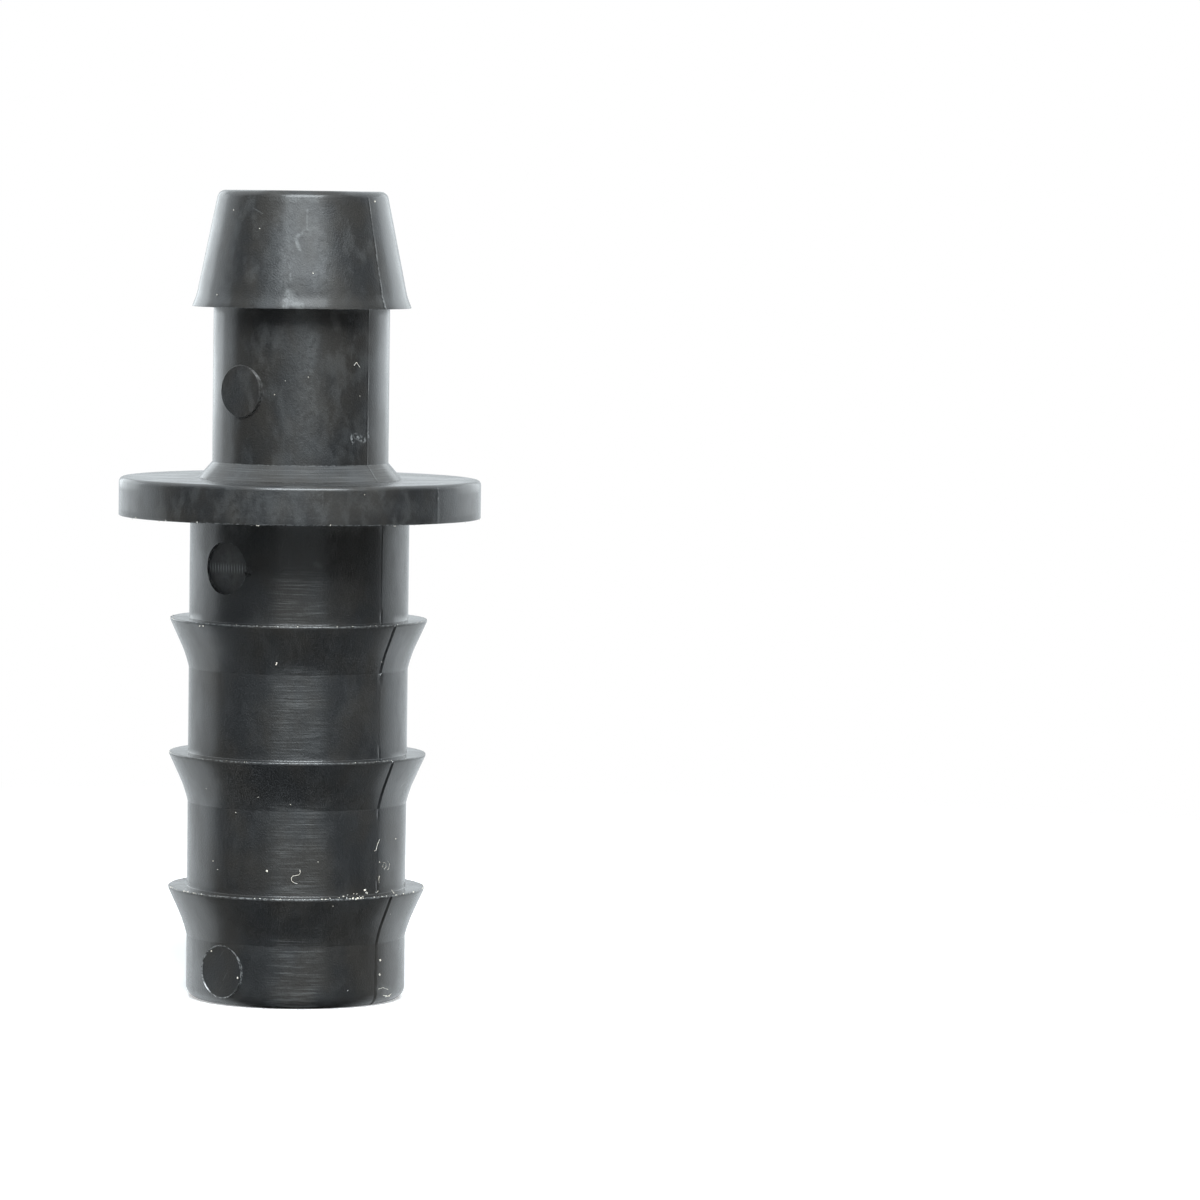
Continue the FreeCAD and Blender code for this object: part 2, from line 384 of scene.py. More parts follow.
def crease_corners(size, number, slope_top):
    """The crease where a barb's side starts, and the rounded corner above it."""
    start = crease_height(size, number)
    gentle, steep = math.tan(size.crease_slope), math.tan(size.barb_slope)
    height = (slope_top * steep - size.barb_rise - start * gentle) / (steep - gentle)
    reach = (height - start) / math.cos(size.crease_slope)
    rounding = BLEND_SHARE * reach / math.tan((size.barb_slope - size.crease_slope) / 2)
    barrel = size.barrel / 2
    corner = Corner(barrel + (height - start) * gentle, height, rounding, segments=6)
    return [Corner(barrel, start), corner]


def outline_corners(size):
    """The corners of the outline, from the tube end's bore mouth round to the bore again."""
    at = key_heights(size)
    barrel, bore = size.barrel / 2, size.barrel / 2 - size.barrel_wall
    stem, stem_bore = size.stem / 2, size.stem / 2 - size.stem_wall
    worn, fillet = size.edge_round, size.corner_round
    corners = [
        Corner(bore, 0.0, size.mouth_round),
        Corner(barrel, 0.0, size.end_round, segments=7),
    ]
    for number, edge in enumerate(at["edges"]):
        corners += crease_corners(size, number, edge - size.barb_land)
        corners += [
            Corner(barrel + size.barb_rise, edge - size.barb_land, worn, segments=2),
            Corner(barrel + size.barb_rise, edge, worn),
            Corner(barrel, edge, fillet),
        ]
    hook = skirt_corner(size, at)
    corners += [
        Corner(barrel, at["under"], fillet),
        Corner(size.flange / 2, at["under"], worn),
        Corner(size.flange / 2, at["seat"], size.flange_round, segments=5),
        Corner(stem + size.foot_rise, at["seat"], fillet),
        Corner(stem, at["seat"] + size.foot_height),
        Corner(stem, at["tip"], fillet),
        Corner(stem + size.tip_rise, at["tip"], worn),
        Corner(hook.x, hook.y, size.skirt_height * SKIRT_BEND, segments=7),
        Corner(size.nose / 2, at["top"], size.nose_round, segments=6),
        Corner(stem_bore, at["top"], size.mouth_round),
        Corner(stem_bore, at["seat"]),
        Corner(bore, at["seat"] - size.throat),
    ]
    return corners


# ---------------------------------------------------------- the moulded body

STEPS_ROUND = 240
LONGEST_OUTSIDE = 0.45 * MM
LONGEST_INSIDE = 2.5 * MM
CORNER_REACH = 0.001 * MM
BORE_SLACK = 0.1 * MM
# How far off the parting line its vertices may lie, and what part of upright a flat face's
# normal reaches.
SEAM_REACH = math.radians(0.05)
FLAT_FACE = 0.97
# Where the parting line starts, how far it runs over a barb's edge, and where it ends below the
# flange and on the nose.
SEAM_START = 0.05 * MM
SEAM_LIP = 0.02 * MM
SEAM_STOP = 0.1 * MM
NOSE_SHARE = 0.6
# The raised parting line: how many times lower it is where it fades, and the rhythm of that: the
# radians per millimetre of two waves, the second one's shift, and the sum below which it fades.
FADED_TIMES = 3
FADE_WAVES = (5.1, 2.3)
FADE_SHIFT = 1.0
FADE_BELOW = 0.1


def seam_azimuth(height):
    """The azimuth of the parting line at a height."""
    traces = settings("mould_traces")
    return traces.seam_side + math.radians(traces.seam_drift) * height / MM


def draw_outline(corners):
    """The outline as a closed wire along the parting line."""
    wire = draw_wire([at_side(seam_azimuth(c.height), c.radius, c.height) for c in corners])
    pick(wire, "verts", lambda vertex: len(vertex.link_edges) == 1)
    bpy.ops.mesh.edge_face_add()
    return wire


def round_corners(piece, corners):
    """Bevels each corner of the wire to its radius."""
    for number, corner in enumerate(corners):
        if not corner.rounding:
            continue
        here = corner.flat()
        after = corners[(number + 1) % len(corners)]
        back = (corners[number - 1].flat() - here).normalized()
        ahead = (after.flat() - here).normalized()
        turn = math.pi - back.angle(ahead)
        place = at_side(seam_azimuth(corner.height), corner.radius, corner.height)
        found = pick(piece, "verts", lambda vertex: (vertex.co - place).length < CORNER_REACH)
        if found != 1:
            raise RuntimeError(f"corner {number} of the outline is found {found} times")
        bpy.ops.mesh.bevel(
            offset=corner.rounding * math.tan(turn / 2), offset_type="OFFSET",
            segments=corner.segments, profile=0.5, affect="VERTICES",
        )


def divide_wire(piece, size):
    """Cuts the long edges of the wire into even steps, finer outside than in the bores."""
    inside = size.barrel / 2 - size.barrel_wall + BORE_SLACK

    def cuts(edge):
        first, second = edge.verts[0].co, edge.verts[1].co
        in_bore = max(radius(first), radius(second)) < inside
        return int((first - second).length / (LONGEST_INSIDE if in_bore else LONGEST_OUTSIDE))

    mesh = bmesh.from_edit_mesh(piece.data)
    for number in sorted({cuts(edge) for edge in mesh.edges} - {0}):
        pick(piece, "edges", lambda edge: cuts(edge) == number)
        bpy.ops.mesh.subdivide(number_cuts=number)


def spin_body():
    """Spins the wire into a closed shell with its faces outwards."""
    bpy.ops.mesh.select_mode(type="VERT")
    bpy.ops.mesh.select_all(action="SELECT")
    bpy.ops.mesh.spin(
        steps=STEPS_ROUND, angle=2 * math.pi, center=(0.0, 0.0, 0.0), axis=(0.0, 0.0, 1.0),
    )
    weld(WELD)
    bpy.ops.mesh.normals_make_consistent(inside=False)


def wall_radius(size, height):
    """A radius inside the wall at a height, which parts the outside from the bore."""
    if height < key_heights(size)["seat"] - size.flange_height / 2:
        return size.barrel / 2 - size.barrel_wall / 2
    return size.nose / 2 - size.nose_round


def ridge_fades(height):
    """If the raised parting line fades at a height, in the uneven rhythm of two waves."""
    fast, slow = (height / MM * wave for wave in FADE_WAVES)
    return math.sin(fast) + math.sin(slow + FADE_SHIFT) < FADE_BELOW


def pick_seam(piece, size, lowest, highest, broken=False):
    """Selects the edges along the parting line on both sides, where asked only in stretches."""
    under = key_heights(size)["under"]

    def on_line(vertex):
        place = vertex.co
        if not lowest < place.z < highest or radius(place) < wall_radius(size, place.z):
            return False
        if broken and ridge_fades(place.z):
            return False
        if place.z > under and abs(vertex.normal.z) > FLAT_FACE:
            return False
        line = seam_azimuth(place.z)
        turns = [turned_by(azimuth(place), line + half) for half in (0.0, math.pi)]
        return min(turns) < SEAM_REACH

    mesh = bmesh.from_edit_mesh(piece.data)
    line = {vertex.index for vertex in mesh.verts if on_line(vertex)}
    return pick(piece, "edges", lambda edge: all(end.index in line for end in edge.verts))


def press_line(piece, size, lowest, highest, width, rise):
    """Gives a stretch of the parting line its width, and moves its middle in or out."""
    if not pick_seam(piece, size, lowest, highest):
        raise RuntimeError("the parting line isn't found")
    bpy.ops.mesh.bevel(offset=width / 2, offset_type="OFFSET", segments=2, affect="EDGES")
    pick_seam(piece, size, lowest, highest)
    bpy.ops.transform.shrink_fatten(value=rise)


def press_seam(piece, size):
    """Sinks the parting line on the tube spigot, and raises it from the flange up."""
    traces = settings("mould_traces")
    at = key_heights(size)
    line = traces.line_width, -traces.line_depth
    groove = traces.groove_width, -traces.groove_depth
    foot = SEAM_START
    for number, edge in enumerate(at["edges"]):
        if number:
            crease = crease_height(size, number)
            press_line(piece, size, foot, crease, *line)
            foot = crease
        press_line(piece, size, foot, edge + SEAM_LIP, *groove)
        foot = edge + SEAM_LIP
    press_line(piece, size, foot, at["under"] - SEAM_STOP, *line)
    nose = at["top"] - size.nose_round * NOSE_SHARE
    faded = traces.ridge_height / FADED_TIMES
    press_line(piece, size, at["under"], nose, traces.ridge_width, faded)
    pick_seam(piece, size, at["seat"], nose, broken=True)
    bpy.ops.transform.shrink_fatten(value=traces.ridge_height)


# ------------------------------------------------------------------ pin marks

PIN_SIDES = 72
# How far a pin's tool runs past the surface, how nearly its outer face looks outwards, and how
# wide the rim of flash round the lowest mark is, in edge roundings.
PIN_PAST = 1.0 * MM
PIN_OUTWARDS = 0.99
FLASH_RIM = 1.4
# What a cut has to leave of a piece's vertices, so that a failed Boolean is noticed.
LEAST_LEFT = 0.9


def pin_marks(size):
    """Each pin mark's height, and how far off the axis the surface and the mark's face are."""
    traces = settings("mould_traces")
    at = key_heights(size)
    barrel, stem = size.barrel / 2, size.stem / 2
    return {
        "end": (traces.end_mark_height, barrel, barrel - traces.end_mark_sink),
        "neck": (at["under"] - traces.neck_mark_drop, barrel, barrel - traces.neck_mark_depth),
        "stem": (at["seat"] + traces.stem_mark_height, stem, stem + traces.stem_mark_rise),
    }


def add_pin(diameter, inner, outer, height, side):
    """A round pin that points outwards, from one distance off the axis to another."""
    bpy.ops.object.select_all(action="DESELECT")
    bpy.ops.mesh.primitive_cylinder_add(
        vertices=PIN_SIDES, radius=diameter / 2, depth=outer - inner,
        location=at_side(side, (inner + outer) / 2, height), rotation=(math.pi / 2, 0.0, side),
    )
    bpy.ops.object.transform_apply(location=True, rotation=True, scale=True)
    return bpy.context.object


def pick_pin_face(pin, side):
    """Selects the outer face of a pin."""
    outwards = bearing(side)
    found = pick(pin, "faces", lambda face: face.normal.dot(outwards) > PIN_OUTWARDS)
    if found != 1:
        raise RuntimeError(f"a pin's face is found {found} times")


def cut(piece, tool, operation):
    """Applies a Boolean of a tool, and removes the tool."""
    modifier = piece.modifiers.new(operation.lower(), "BOOLEAN")
    modifier.operation = operation
    modifier.solver = "EXACT"
    modifier.object = tool
    select_only(piece)
    before = len(piece.data.vertices)
    bpy.ops.object.modifier_apply(modifier=modifier.name)
    after = len(piece.data.vertices)
    if after == before or after < before * LEAST_LEFT:
        raise RuntimeError(f"the {operation.lower()} fails")
    bpy.data.objects.remove(tool)
    open_mesh(piece)
    weld(CUT_WELD)
    close_mesh()


def stamp_marks(piece, size):
    """Stamps the pin marks: level in the end with flash round it, sunk in the neck, and raised."""
    traces = settings("mould_traces")
    side, mark, worn = traces.mark_side, traces.mark, size.edge_round
    marks = pin_marks(size)

    height, surface, face = marks["end"]
    cut(piece, add_pin(mark, face, surface + PIN_PAST, height, side), "DIFFERENCE")
    pad = add_pin(mark + worn, surface - PIN_PAST, face + traces.flash, height, side)
    open_mesh(pad)
    pick_pin_face(pad, side)
    bpy.ops.mesh.inset(thickness=worn * FLASH_RIM)
    bpy.ops.transform.translate(value=bearing(side) * -traces.flash)
    close_mesh()
    cut(piece, pad, "UNION")

    height, surface, face = marks["neck"]
    cut(piece, add_pin(mark, face, surface + PIN_PAST, height, side), "DIFFERENCE")

    height, surface, face = marks["stem"]
    pad = add_pin(mark, surface - PIN_PAST, face, height, side)
    open_mesh(pad)
    pick_pin_face(pad, side)
    bpy.ops.mesh.bevel(offset=worn, segments=2, affect="EDGES")
    close_mesh()
    cut(piece, pad, "UNION")


# ---------------------------------------------------------------------- nicks

# The chip beside the sunk pin mark: its place, its width and how far it is tilted.
NECK_CHIP = (-25.6, 27.05, 6.92)
NECK_CHIP_WIDTH = 0.66 * MM
NECK_CHIP_TILT = 0.3
# Each barb's worn edge, from the end up: how many nicks it has, and how large they are at most.
BARB_NICKS = ((34, 0.20 * MM), (12, 0.12 * MM), (16, 0.14 * MM))
FLANGE_NICKS = (22, 0.16 * MM)
# How far a nick strays from an even spacing, in spacings; the smallest nick, in largest ones; how
# far its middle stands out, in widths; its most tilt, and the part of it that leans the other
# way; and half its sides, in widths.
NICK_SEED = 11
NICK_STRAY = 0.38
NICK_LEAST = 0.35
NICK_OUT = 0.35
NICK_TILT = 0.5
NICK_LEAN = 0.7
NICK_SIDES = (0.7, 0.5, 0.6)


def sharp_rims(size, barbs, flange):
    """The barbs' and the flange's sharp rims: distance off the axis, height, and what is given."""
    at = key_heights(size)
    barb = size.barrel / 2 + size.barb_rise
    rims = [(barb, edge, *given) for edge, given in zip(at["edges"], barbs)]
    return rims + [(size.flange / 2, at["under"], *flange)]


def nick_places(size):
    """Where the moulding is nicked: place, azimuth, width and tilt of each nick."""
    yield spot(*NECK_CHIP), math.radians(NECK_CHIP[0]), NECK_CHIP_WIDTH, NECK_CHIP_TILT
    dice = random.Random(NICK_SEED)
    for distance, height, count, largest in sharp_rims(size, BARB_NICKS, FLANGE_NICKS):
        for number in range(count):
            side = 2 * math.pi * (number + dice.uniform(-NICK_STRAY, NICK_STRAY)) / count
            wide = largest * dice.uniform(NICK_LEAST, 1.0)
            place = at_side(side, distance + wide * NICK_OUT, height)
            yield place, side, wide, dice.uniform(-NICK_TILT, NICK_TILT)


def nick_edges(piece, size):
    """Cuts small notches into the barbs' edges and the flange's lower rim."""
    bpy.ops.object.select_all(action="DESELECT")
    bpy.ops.mesh.primitive_ico_sphere_add(subdivisions=1, radius=1.0)
    model = bpy.context.object
    tools = []
    for place, side, wide, tilt in nick_places(size):
        sides = [wide * share for share in NICK_SIDES]
        tools.append(place_copy(model, place, (tilt, tilt * NICK_LEAN, side), sides))
    bpy.data.objects.remove(model)
    tool = join_objects(tools)
    bpy.ops.object.transform_apply(location=True, rotation=True, scale=True)
    cut(piece, tool, "DIFFERENCE")


# -------------------------------------------------------------------- surface

# How far off a crease's height and how deep under the barrel a vertex still belongs to it.
CREASE_REACH = 0.02 * MM
CREASE_DEPTH = 0.2 * MM
# A face with more corners than this is the face of a pin mark.
MANY_CORNERS = 20


def roughen(piece):
    """Gives the surface the shallow waves of a real moulding."""
    traces = settings("mould_traces")
    waves = bpy.data.textures.new("moulding_waves", "CLOUDS")
    waves.noise_scale = traces.wave
    modifier = piece.modifiers.new("waves", "DISPLACE")
    modifier.texture = waves
    modifier.strength = traces.unevenness
    modifier.mid_level = 1.0
    bpy.ops.object.modifier_apply(modifier=modifier.name)


def sharpen_creases(piece, size):
    """Keeps the shading sharp at the creases under the barbs and round the pin marks' faces."""
    starts = [crease_height(size, number) for number in range(size.barbs)]
    outside = size.barrel / 2 - CREASE_DEPTH

    def on_crease(vertex):
        off = min(abs(vertex.co.z - start) for start in starts)
        return off < CREASE_REACH and radius(vertex.co) > outside

    open_mesh(piece)
    mesh = bmesh.from_edit_mesh(piece.data)
    ring = {vertex.index for vertex in mesh.verts if on_crease(vertex)}
    if not ring:
        raise RuntimeError("the creases aren't found")

    def is_sharp(edge):
        if all(end.index in ring for end in edge.verts):
            return True
        return any(len(face.verts) > MANY_CORNERS for face in edge.link_faces)

    pick(piece, "edges", is_sharp)
    bpy.ops.mesh.mark_sharp()
    close_mesh()


class COUPLING_OT_moulding(bpy.types.Operator):
    """Models the whole moulding: turned form, parting line, pin marks and nicks"""

    bl_idname = "coupling.moulding"
    bl_label = "Moulded Coupling"

    def execute(self, context):
        size = settings("coupling_sizes")
        corners = outline_corners(size)
        piece = draw_outline(corners)
        round_corners(piece, corners)
        divide_wire(piece, size)
        spin_body()
        close_mesh()
        nick_edges(piece, size)
        stamp_marks(piece, size)
        open_mesh(piece)
        press_seam(piece, size)
        close_mesh()
        roughen(piece)
        bpy.ops.object.shade_smooth_by_angle(angle=SMOOTH_BELOW)
        sharpen_creases(piece, size)
        piece.data.materials.append(bpy.data.materials[PLASTIC])
        finish_piece(piece, "moulded_coupling")
        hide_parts(SOLID)
        return {"FINISHED"}


# ---------------------------------------------------------------------- flash

# Chips of pale flash: azimuth, height, distance off the axis and size.
CHIPS = (
    (36.9, 7.44, 7.55, 0.21), (37.5, 7.27, 7.62, 0.23), (29.1, 7.30, 7.98, 0.09),
    (30.6, 7.28, 7.98, 0.09), (28.6, 7.03, 8.01, 0.17), (31.0, 7.02, 8.01, 0.19),
    (32.6, 7.03, 8.01, 0.15), (30.0, 6.97, 8.01, 0.13), (27.2, 7.00, 8.01, 0.12),
    (25.6, 7.06, 8.01, 0.12), (33.6, 7.10, 8.01, 0.09), (31.9, 7.13, 8.01, 0.09),
    (26.0, 7.25, 7.98, 0.08), (23.9, 7.18, 8.02, 0.13), (22.0, 7.10, 8.02, 0.09),
    (17.8, 7.08, 8.02, 0.10), (19.5, 6.58, 7.86, 0.09), (24.1, 6.62, 7.86, 0.09),
    (52.7, 2.85, 6.86, 0.19), (52.4, 1.97, 6.86, 0.17), (51.4, 9.00, 6.84, 0.09),
    (55.4, 4.67, 6.98, 0.09), (66.7, 10.3, 6.85, 0.11), (31.0, 1.16, 6.84, 0.10),
    (13.9, 9.21, 6.85, 0.07), (54.0, 5.79, 7.50, 0.08), (-12.6, 8.61, 6.87, 0.18),
    (-46.2, 8.98, 6.85, 0.07), (-42.6, 8.49, 6.85, 0.07), (-30.3, 12.13, 6.92, 0.10),
    (-0.5, 12.77, 7.00, 0.08), (22.7, 13.92, 7.30, 0.07), (-29.5, 14.64, 7.66, 0.05),
    (-48.6, 13.47, 7.20, 0.05), (-16.9, 13.19, 7.13, 0.05), (-8.5, 21.40, 7.06, 0.13),
    (-8.2, 21.50, 7.09, 0.10), (16.5, 21.58, 7.06, 0.08), (49.4, 21.47, 7.06, 0.09),
    (-47.2, 23.61, 7.98, 0.13), (-44.8, 23.63, 7.98, 0.13), (-60.8, 30.24, 11.27, 0.16),
    (-43.9, 30.24, 11.27, 0.14), (-31.0, 30.24, 11.27, 0.14), (12.1, 30.24, 11.27, 0.12),
    (22.9, 32.10, 11.30, 0.08), (7.1, 39.05, 5.50, 0.07), (-7.7, 38.80, 5.50, 0.06),
    (-14.7, 37.93, 5.50, 0.06), (43.9, 37.88, 5.50, 0.07), (-48.5, 49.24, 5.47, 0.12),
    (-25.0, 48.13, 5.70, 0.12), (58.2, 49.87, 5.37, 0.13), (8.7, 45.45, 6.26, 0.12),
    (-50.0, 44.00, 6.61, 0.12), (-46.7, 3.37, 6.86, 0.12), (-28.2, 1.90, 6.90, 0.20),
    (-47.7, 0.89, 6.80, 0.13), (-40.0, 0.53, 6.74, 0.15), (62.0, 0.52, 6.80, 0.12),
    (58.6, 0.55, 6.80, 0.18),
)
# Threads of flash: their thickness, their distance off the axis, and the azimuths and heights
# that they run through.
THREADS = (
    (0.034, 6.86, (
        (4.5, 8.75), (4.7, 8.53), (4.0, 8.41), (1.0, 8.34), (0.1, 8.22), (0.4, 8.03),
        (1.8, 7.91), (3.3, 7.87),
    )),
    (0.034, 6.86, (
        (51.1, 10.41), (49.7, 10.14), (48.9, 9.90), (48.6, 9.78), (47.5, 9.72),
    )),
    (0.026, 6.86, (
        (51.5, 8.13), (50.9, 7.95), (51.4, 7.70),
    )),
    (0.034, 5.51, (
        (38.8, 39.76), (40.6, 39.96), (43.3, 39.67),
    )),
    (0.040, 6.81, (
        (53.1, 0.87), (55.8, 0.64), (59.3, 0.52), (61.7, 0.52), (64.1, 0.64),
    )),
    (0.028, 6.84, (
        (51.6, 1.07), (55.5, 1.12), (60.2, 0.95),
    )),
    (0.034, 7.96, (
        (50.7, 7.36), (51.2, 7.24), (52.3, 7.14),
    )),
    (0.024, 7.75, (
        (41.9, 7.30), (42.6, 7.24), (43.6, 7.36),
    )),
    (0.016, 6.86, (
        (54.6, 8.95), (56.6, 8.88), (56.9, 8.66), (55.2, 8.52), (54.0, 8.66), (54.4, 8.84),
    )),
    (0.016, 6.86, (
        (58.4, 8.98), (60.2, 8.80), (59.6, 8.52), (58.0, 8.44),
    )),
)
# Loose chips along each sharp rim: how many there are, and how large they are at most.
RIM_CHIPS = ((90, 0.13), (50, 0.09), (60, 0.10))
FLANGE_CHIPS = (36, 0.10)
# How far a loose chip is pressed into the rim and hangs below it, and the smallest one, in
# largest ones.
CHIP_SINK = 0.03
CHIP_DROP = 0.02 * MM
CHIP_LEAST = 0.3
# The seeds of the chips' places, crumpling and turns; how far a chip is crumpled, tilted and
# twisted at most; and its depth and its least and most height, in widths.
PLACE_SEED = 5
CRUMPLE_SEED = 3
TURN_SEED = 8
CHIP_ROUGHNESS = 0.16
CHIP_TILT = 0.6
CHIP_TWIST = 3.0
CHIP_DEPTH = 0.6
CHIP_HEIGHTS = (0.6, 1.1)


def chip_places(size):
    """Place, size and azimuth of all chips: those that show in front, and a scatter on the rims."""
    for side, height, distance, wide in CHIPS:
        yield spot(side, height, distance), wide * MM, side
    dice = random.Random(PLACE_SEED)
    for distance, height, count, largest in sharp_rims(size, RIM_CHIPS, FLANGE_CHIPS):
        for _ in range(count):
            side = dice.uniform(-180.0, 180.0)
            wide = largest * dice.uniform(CHIP_LEAST, 1.0) * MM
            place = spot(side, height / MM, distance / MM - CHIP_SINK)
            yield place + Vector((0.0, 0.0, -CHIP_DROP)), wide, side


def add_chips(size):
    """All chips, each a crumpled ball with its own turn and flatness."""
    bpy.ops.object.select_all(action="DESELECT")
    bpy.ops.mesh.primitive_ico_sphere_add(subdivisions=1, radius=0.5)
    model = bpy.context.object
    open_mesh(model)
    bpy.ops.mesh.select_all(action="SELECT")
    bpy.ops.transform.vertex_random(offset=CHIP_ROUGHNESS, seed=CRUMPLE_SEED)
    close_mesh()
    dice = random.Random(TURN_SEED)
    chips = []
    for place, wide, side in chip_places(size):
        tilt = dice.uniform(-CHIP_TILT, CHIP_TILT)
        turn = (tilt, dice.uniform(-CHIP_TWIST, CHIP_TWIST), math.radians(side))
        scale = (wide, wide * CHIP_DEPTH, wide * dice.uniform(*CHIP_HEIGHTS))
        chips.append(place_copy(model, place, turn, scale))
    bpy.data.objects.remove(model)
    return chips


def draw_thread(places, thickness):
    """A thin tube through some places."""
    thread = draw_wire(places)
    close_mesh()
    bpy.ops.object.convert(target="CURVE")
    thread.data.bevel_depth = thickness / 2
    thread.data.bevel_resolution = 1
    thread.data.use_fill_caps = True
    bpy.ops.object.convert(target="MESH")
    thread = bpy.context.object
    open_mesh(thread)
    weld(WELD)
    bpy.ops.mesh.normals_make_consistent(inside=False)
    close_mesh()
    return thread


class COUPLING_OT_flash(bpy.types.Operator):
    """Models the pale chips and threads of flash that cling to the moulding"""

    bl_idname = "coupling.flash"
    bl_label = "Flash"

    def execute(self, context):
        parts = add_chips(settings("coupling_sizes"))
        for thickness, distance, path in THREADS:
            places = [spot(side, height, distance) for side, height in path]
            parts.append(draw_thread(places, thickness * MM))
        piece = join_objects(parts)
        piece.data.materials.clear()
        piece.data.materials.append(bpy.data.materials[PALE])
        finish_piece(piece, "flash_chips")
        return {"FINISHED"}


# ----------------------------------------------------------------- materials

ORIGIN = (0.0, 0.0, 0.0)
# Grains of the plastic: spots per metre each way, the noise where the mask starts and where it is
# full, and the noise's detail.
GRAINS = {
    "crumbs": ((6000.0, 6000.0, 6000.0), 0.42, 0.62, 3.0),
    "smudges": ((2600.0, 2600.0, 2600.0), 0.25, 0.60, 3.0),
    "clouds": ((260.0, 260.0, 180.0), 0.35, 0.65, 3.0),
    "haze": ((950.0, 950.0, 520.0), 0.46, 0.66, 3.0),
    "tool_lines": ((520.0, 520.0, 13000.0), 0.42, 0.70, 3.0),
    "line_patches": ((600.0, 600.0, 900.0), 0.22, 0.62, 3.0),
    "foot_rings": ((260.0, 260.0, 15000.0), 0.46, 0.72, 3.0),
    "fine": ((9000.0, 9000.0, 9000.0), 0.30, 0.70, 2.0),
    "torn": ((7000.0, 7000.0, 7000.0), 0.35, 0.60, 3.0),
}
# What the clouds add to the roughness at least and at most, and what haze and wear add to it.
CLOUD_ROUGHNESS = (-0.05, 0.07)
HAZE_ROUGHNESS = 0.09
WEAR_ROUGHNESS = 0.12
# The shine that is left under the clouds, and the share of it that is worn off in front.
CLOUD_SHINE = 0.85
WORN_SHINE = 0.85
# The haze under the flange as a share of the haze above it, how much paler the front of the
# barrel is painted as a whole, which is a painted highlight, and how deep the tool lines are
# beside the fine grain.
LOW_HAZE = 0.23
PAINTED_FRONT_SHEEN = 0.006
LINE_RELIEF = 0.5
# Over what height the haze thins out under the flange, and how far behind its middle a worn ring
# is gone and is full.
HAZE_FADE = 1.0 * MM
RING_BEHIND = (-3.0 * MM, -2.0 * MM)


def set_inputs(tree, node, inputs):
    """Gives inputs of a node their values, or links them to the outputs of other nodes."""
    for socket, value in inputs.items():
        if isinstance(value, bpy.types.NodeSocket):
            tree.links.new(value, node.inputs[socket])
        else:
            node.inputs[socket].default_value = value


def add_node(tree, kind, inputs=None, **choices):
    """Adds a node with its choices and its inputs."""
    node = tree.nodes.new("ShaderNode" + kind)
    for name, choice in choices.items():
        setattr(node, name, choice)
    set_inputs(tree, node, inputs or {})
    return node


def maths(tree, operation, *terms, clamp=False):
    """The result of a calculation with numbers or outputs."""
    node = add_node(tree, "Math", dict(enumerate(terms)), operation=operation, use_clamp=clamp)
    return node.outputs[0]


def chain(tree, operation, terms):
    """The result of one operation through any number of terms."""
    return reduce(lambda first, second: maths(tree, operation, first, second), terms)


def vectors(tree, operation, *terms):
    """The result of a calculation with vectors, which is a number for a product or a length."""
    node = add_node(tree, "VectorMath", dict(enumerate(terms)), operation=operation)
    number = operation in ("DOT_PRODUCT", "DISTANCE", "LENGTH")
    return node.outputs["Value" if number else "Vector"]


def ramp(tree, value, low, high, start=0.0, end=1.0, smooth=False):
    """Maps a value from one range to another, and holds it beyond the ends."""
    node = add_node(
        tree, "MapRange",
        {"Value": value, "From Min": low, "From Max": high, "To Min": start, "To Max": end},
        interpolation_type="SMOOTHSTEP" if smooth else "LINEAR",
    )
    return node.outputs["Result"]


def blend(tree, factor, first, second, kind="RGBA"):
    """A blend of two colours, or of two numbers."""
    node = add_node(tree, "Mix", {"Factor": factor, "A": first, "B": second}, data_type=kind)
    return node.outputs["Result"]


def split_place(tree, place):
    """The way of a place off the flow axis as a level vector, and its height."""
    x, y, z = add_node(tree, "SeparateXYZ", {"Vector": place}).outputs
    return add_node(tree, "CombineXYZ", {"X": x, "Y": y}).outputs["Vector"], z


def new_group(name, inputs):
    """A shader group that puts out a mask; each input is given by its name, kind and value."""
    tree = bpy.data.node_groups.new(name, "ShaderNodeTree")
    for label, kind, value in inputs:
        socket = tree.interface.new_socket(
            name=label, in_out="INPUT", socket_type="NodeSocket" + kind,
        )
        socket.default_value = value
    tree.interface.new_socket(name="Mask", in_out="OUTPUT", socket_type="NodeSocketFloat")
    return tree, tree.nodes.new("NodeGroupInput").outputs, tree.nodes.new("NodeGroupOutput")


def use_group(tree, name, inputs):
    """The mask of a group that is placed in a material."""
    group = bpy.data.node_groups[name]
    return add_node(tree, "Group", inputs, node_tree=group).outputs["Mask"]


def make_grain():
    """Streaks or clouds in a surface: noise with a number of spots per metre each way."""
    tree, entry, out = new_group("grain", (
        ("Place", "Vector", ORIGIN), ("Spots", "Vector", (1000.0, 1000.0, 1000.0)),
        ("From", "Float", 0.4), ("To", "Float", 0.6), ("Detail", "Float", 3.0),
    ))
    scaled = vectors(tree, "MULTIPLY", entry["Place"], entry["Spots"])
    noise = add_node(tree, "TexNoise", {
        "Vector": scaled, "Scale": 1.0, "Roughness": 0.6, "Detail": entry["Detail"],
    })
    mask = ramp(tree, noise.outputs[0], entry["From"], entry["To"], smooth=True)
    set_inputs(tree, out, {"Mask": mask})


def new_wear(name, shape):
    """A group for wear and painted highlight near a line: the inputs of its shape, and those all
    share.
    """
    return new_group(name, (
        ("Place", "Vector", ORIGIN), *shape,
        ("Reach", "Float", 0.1 * MM), ("Amount", "Float", 1.0), ("Grain", "Float", 1.0),
    ))


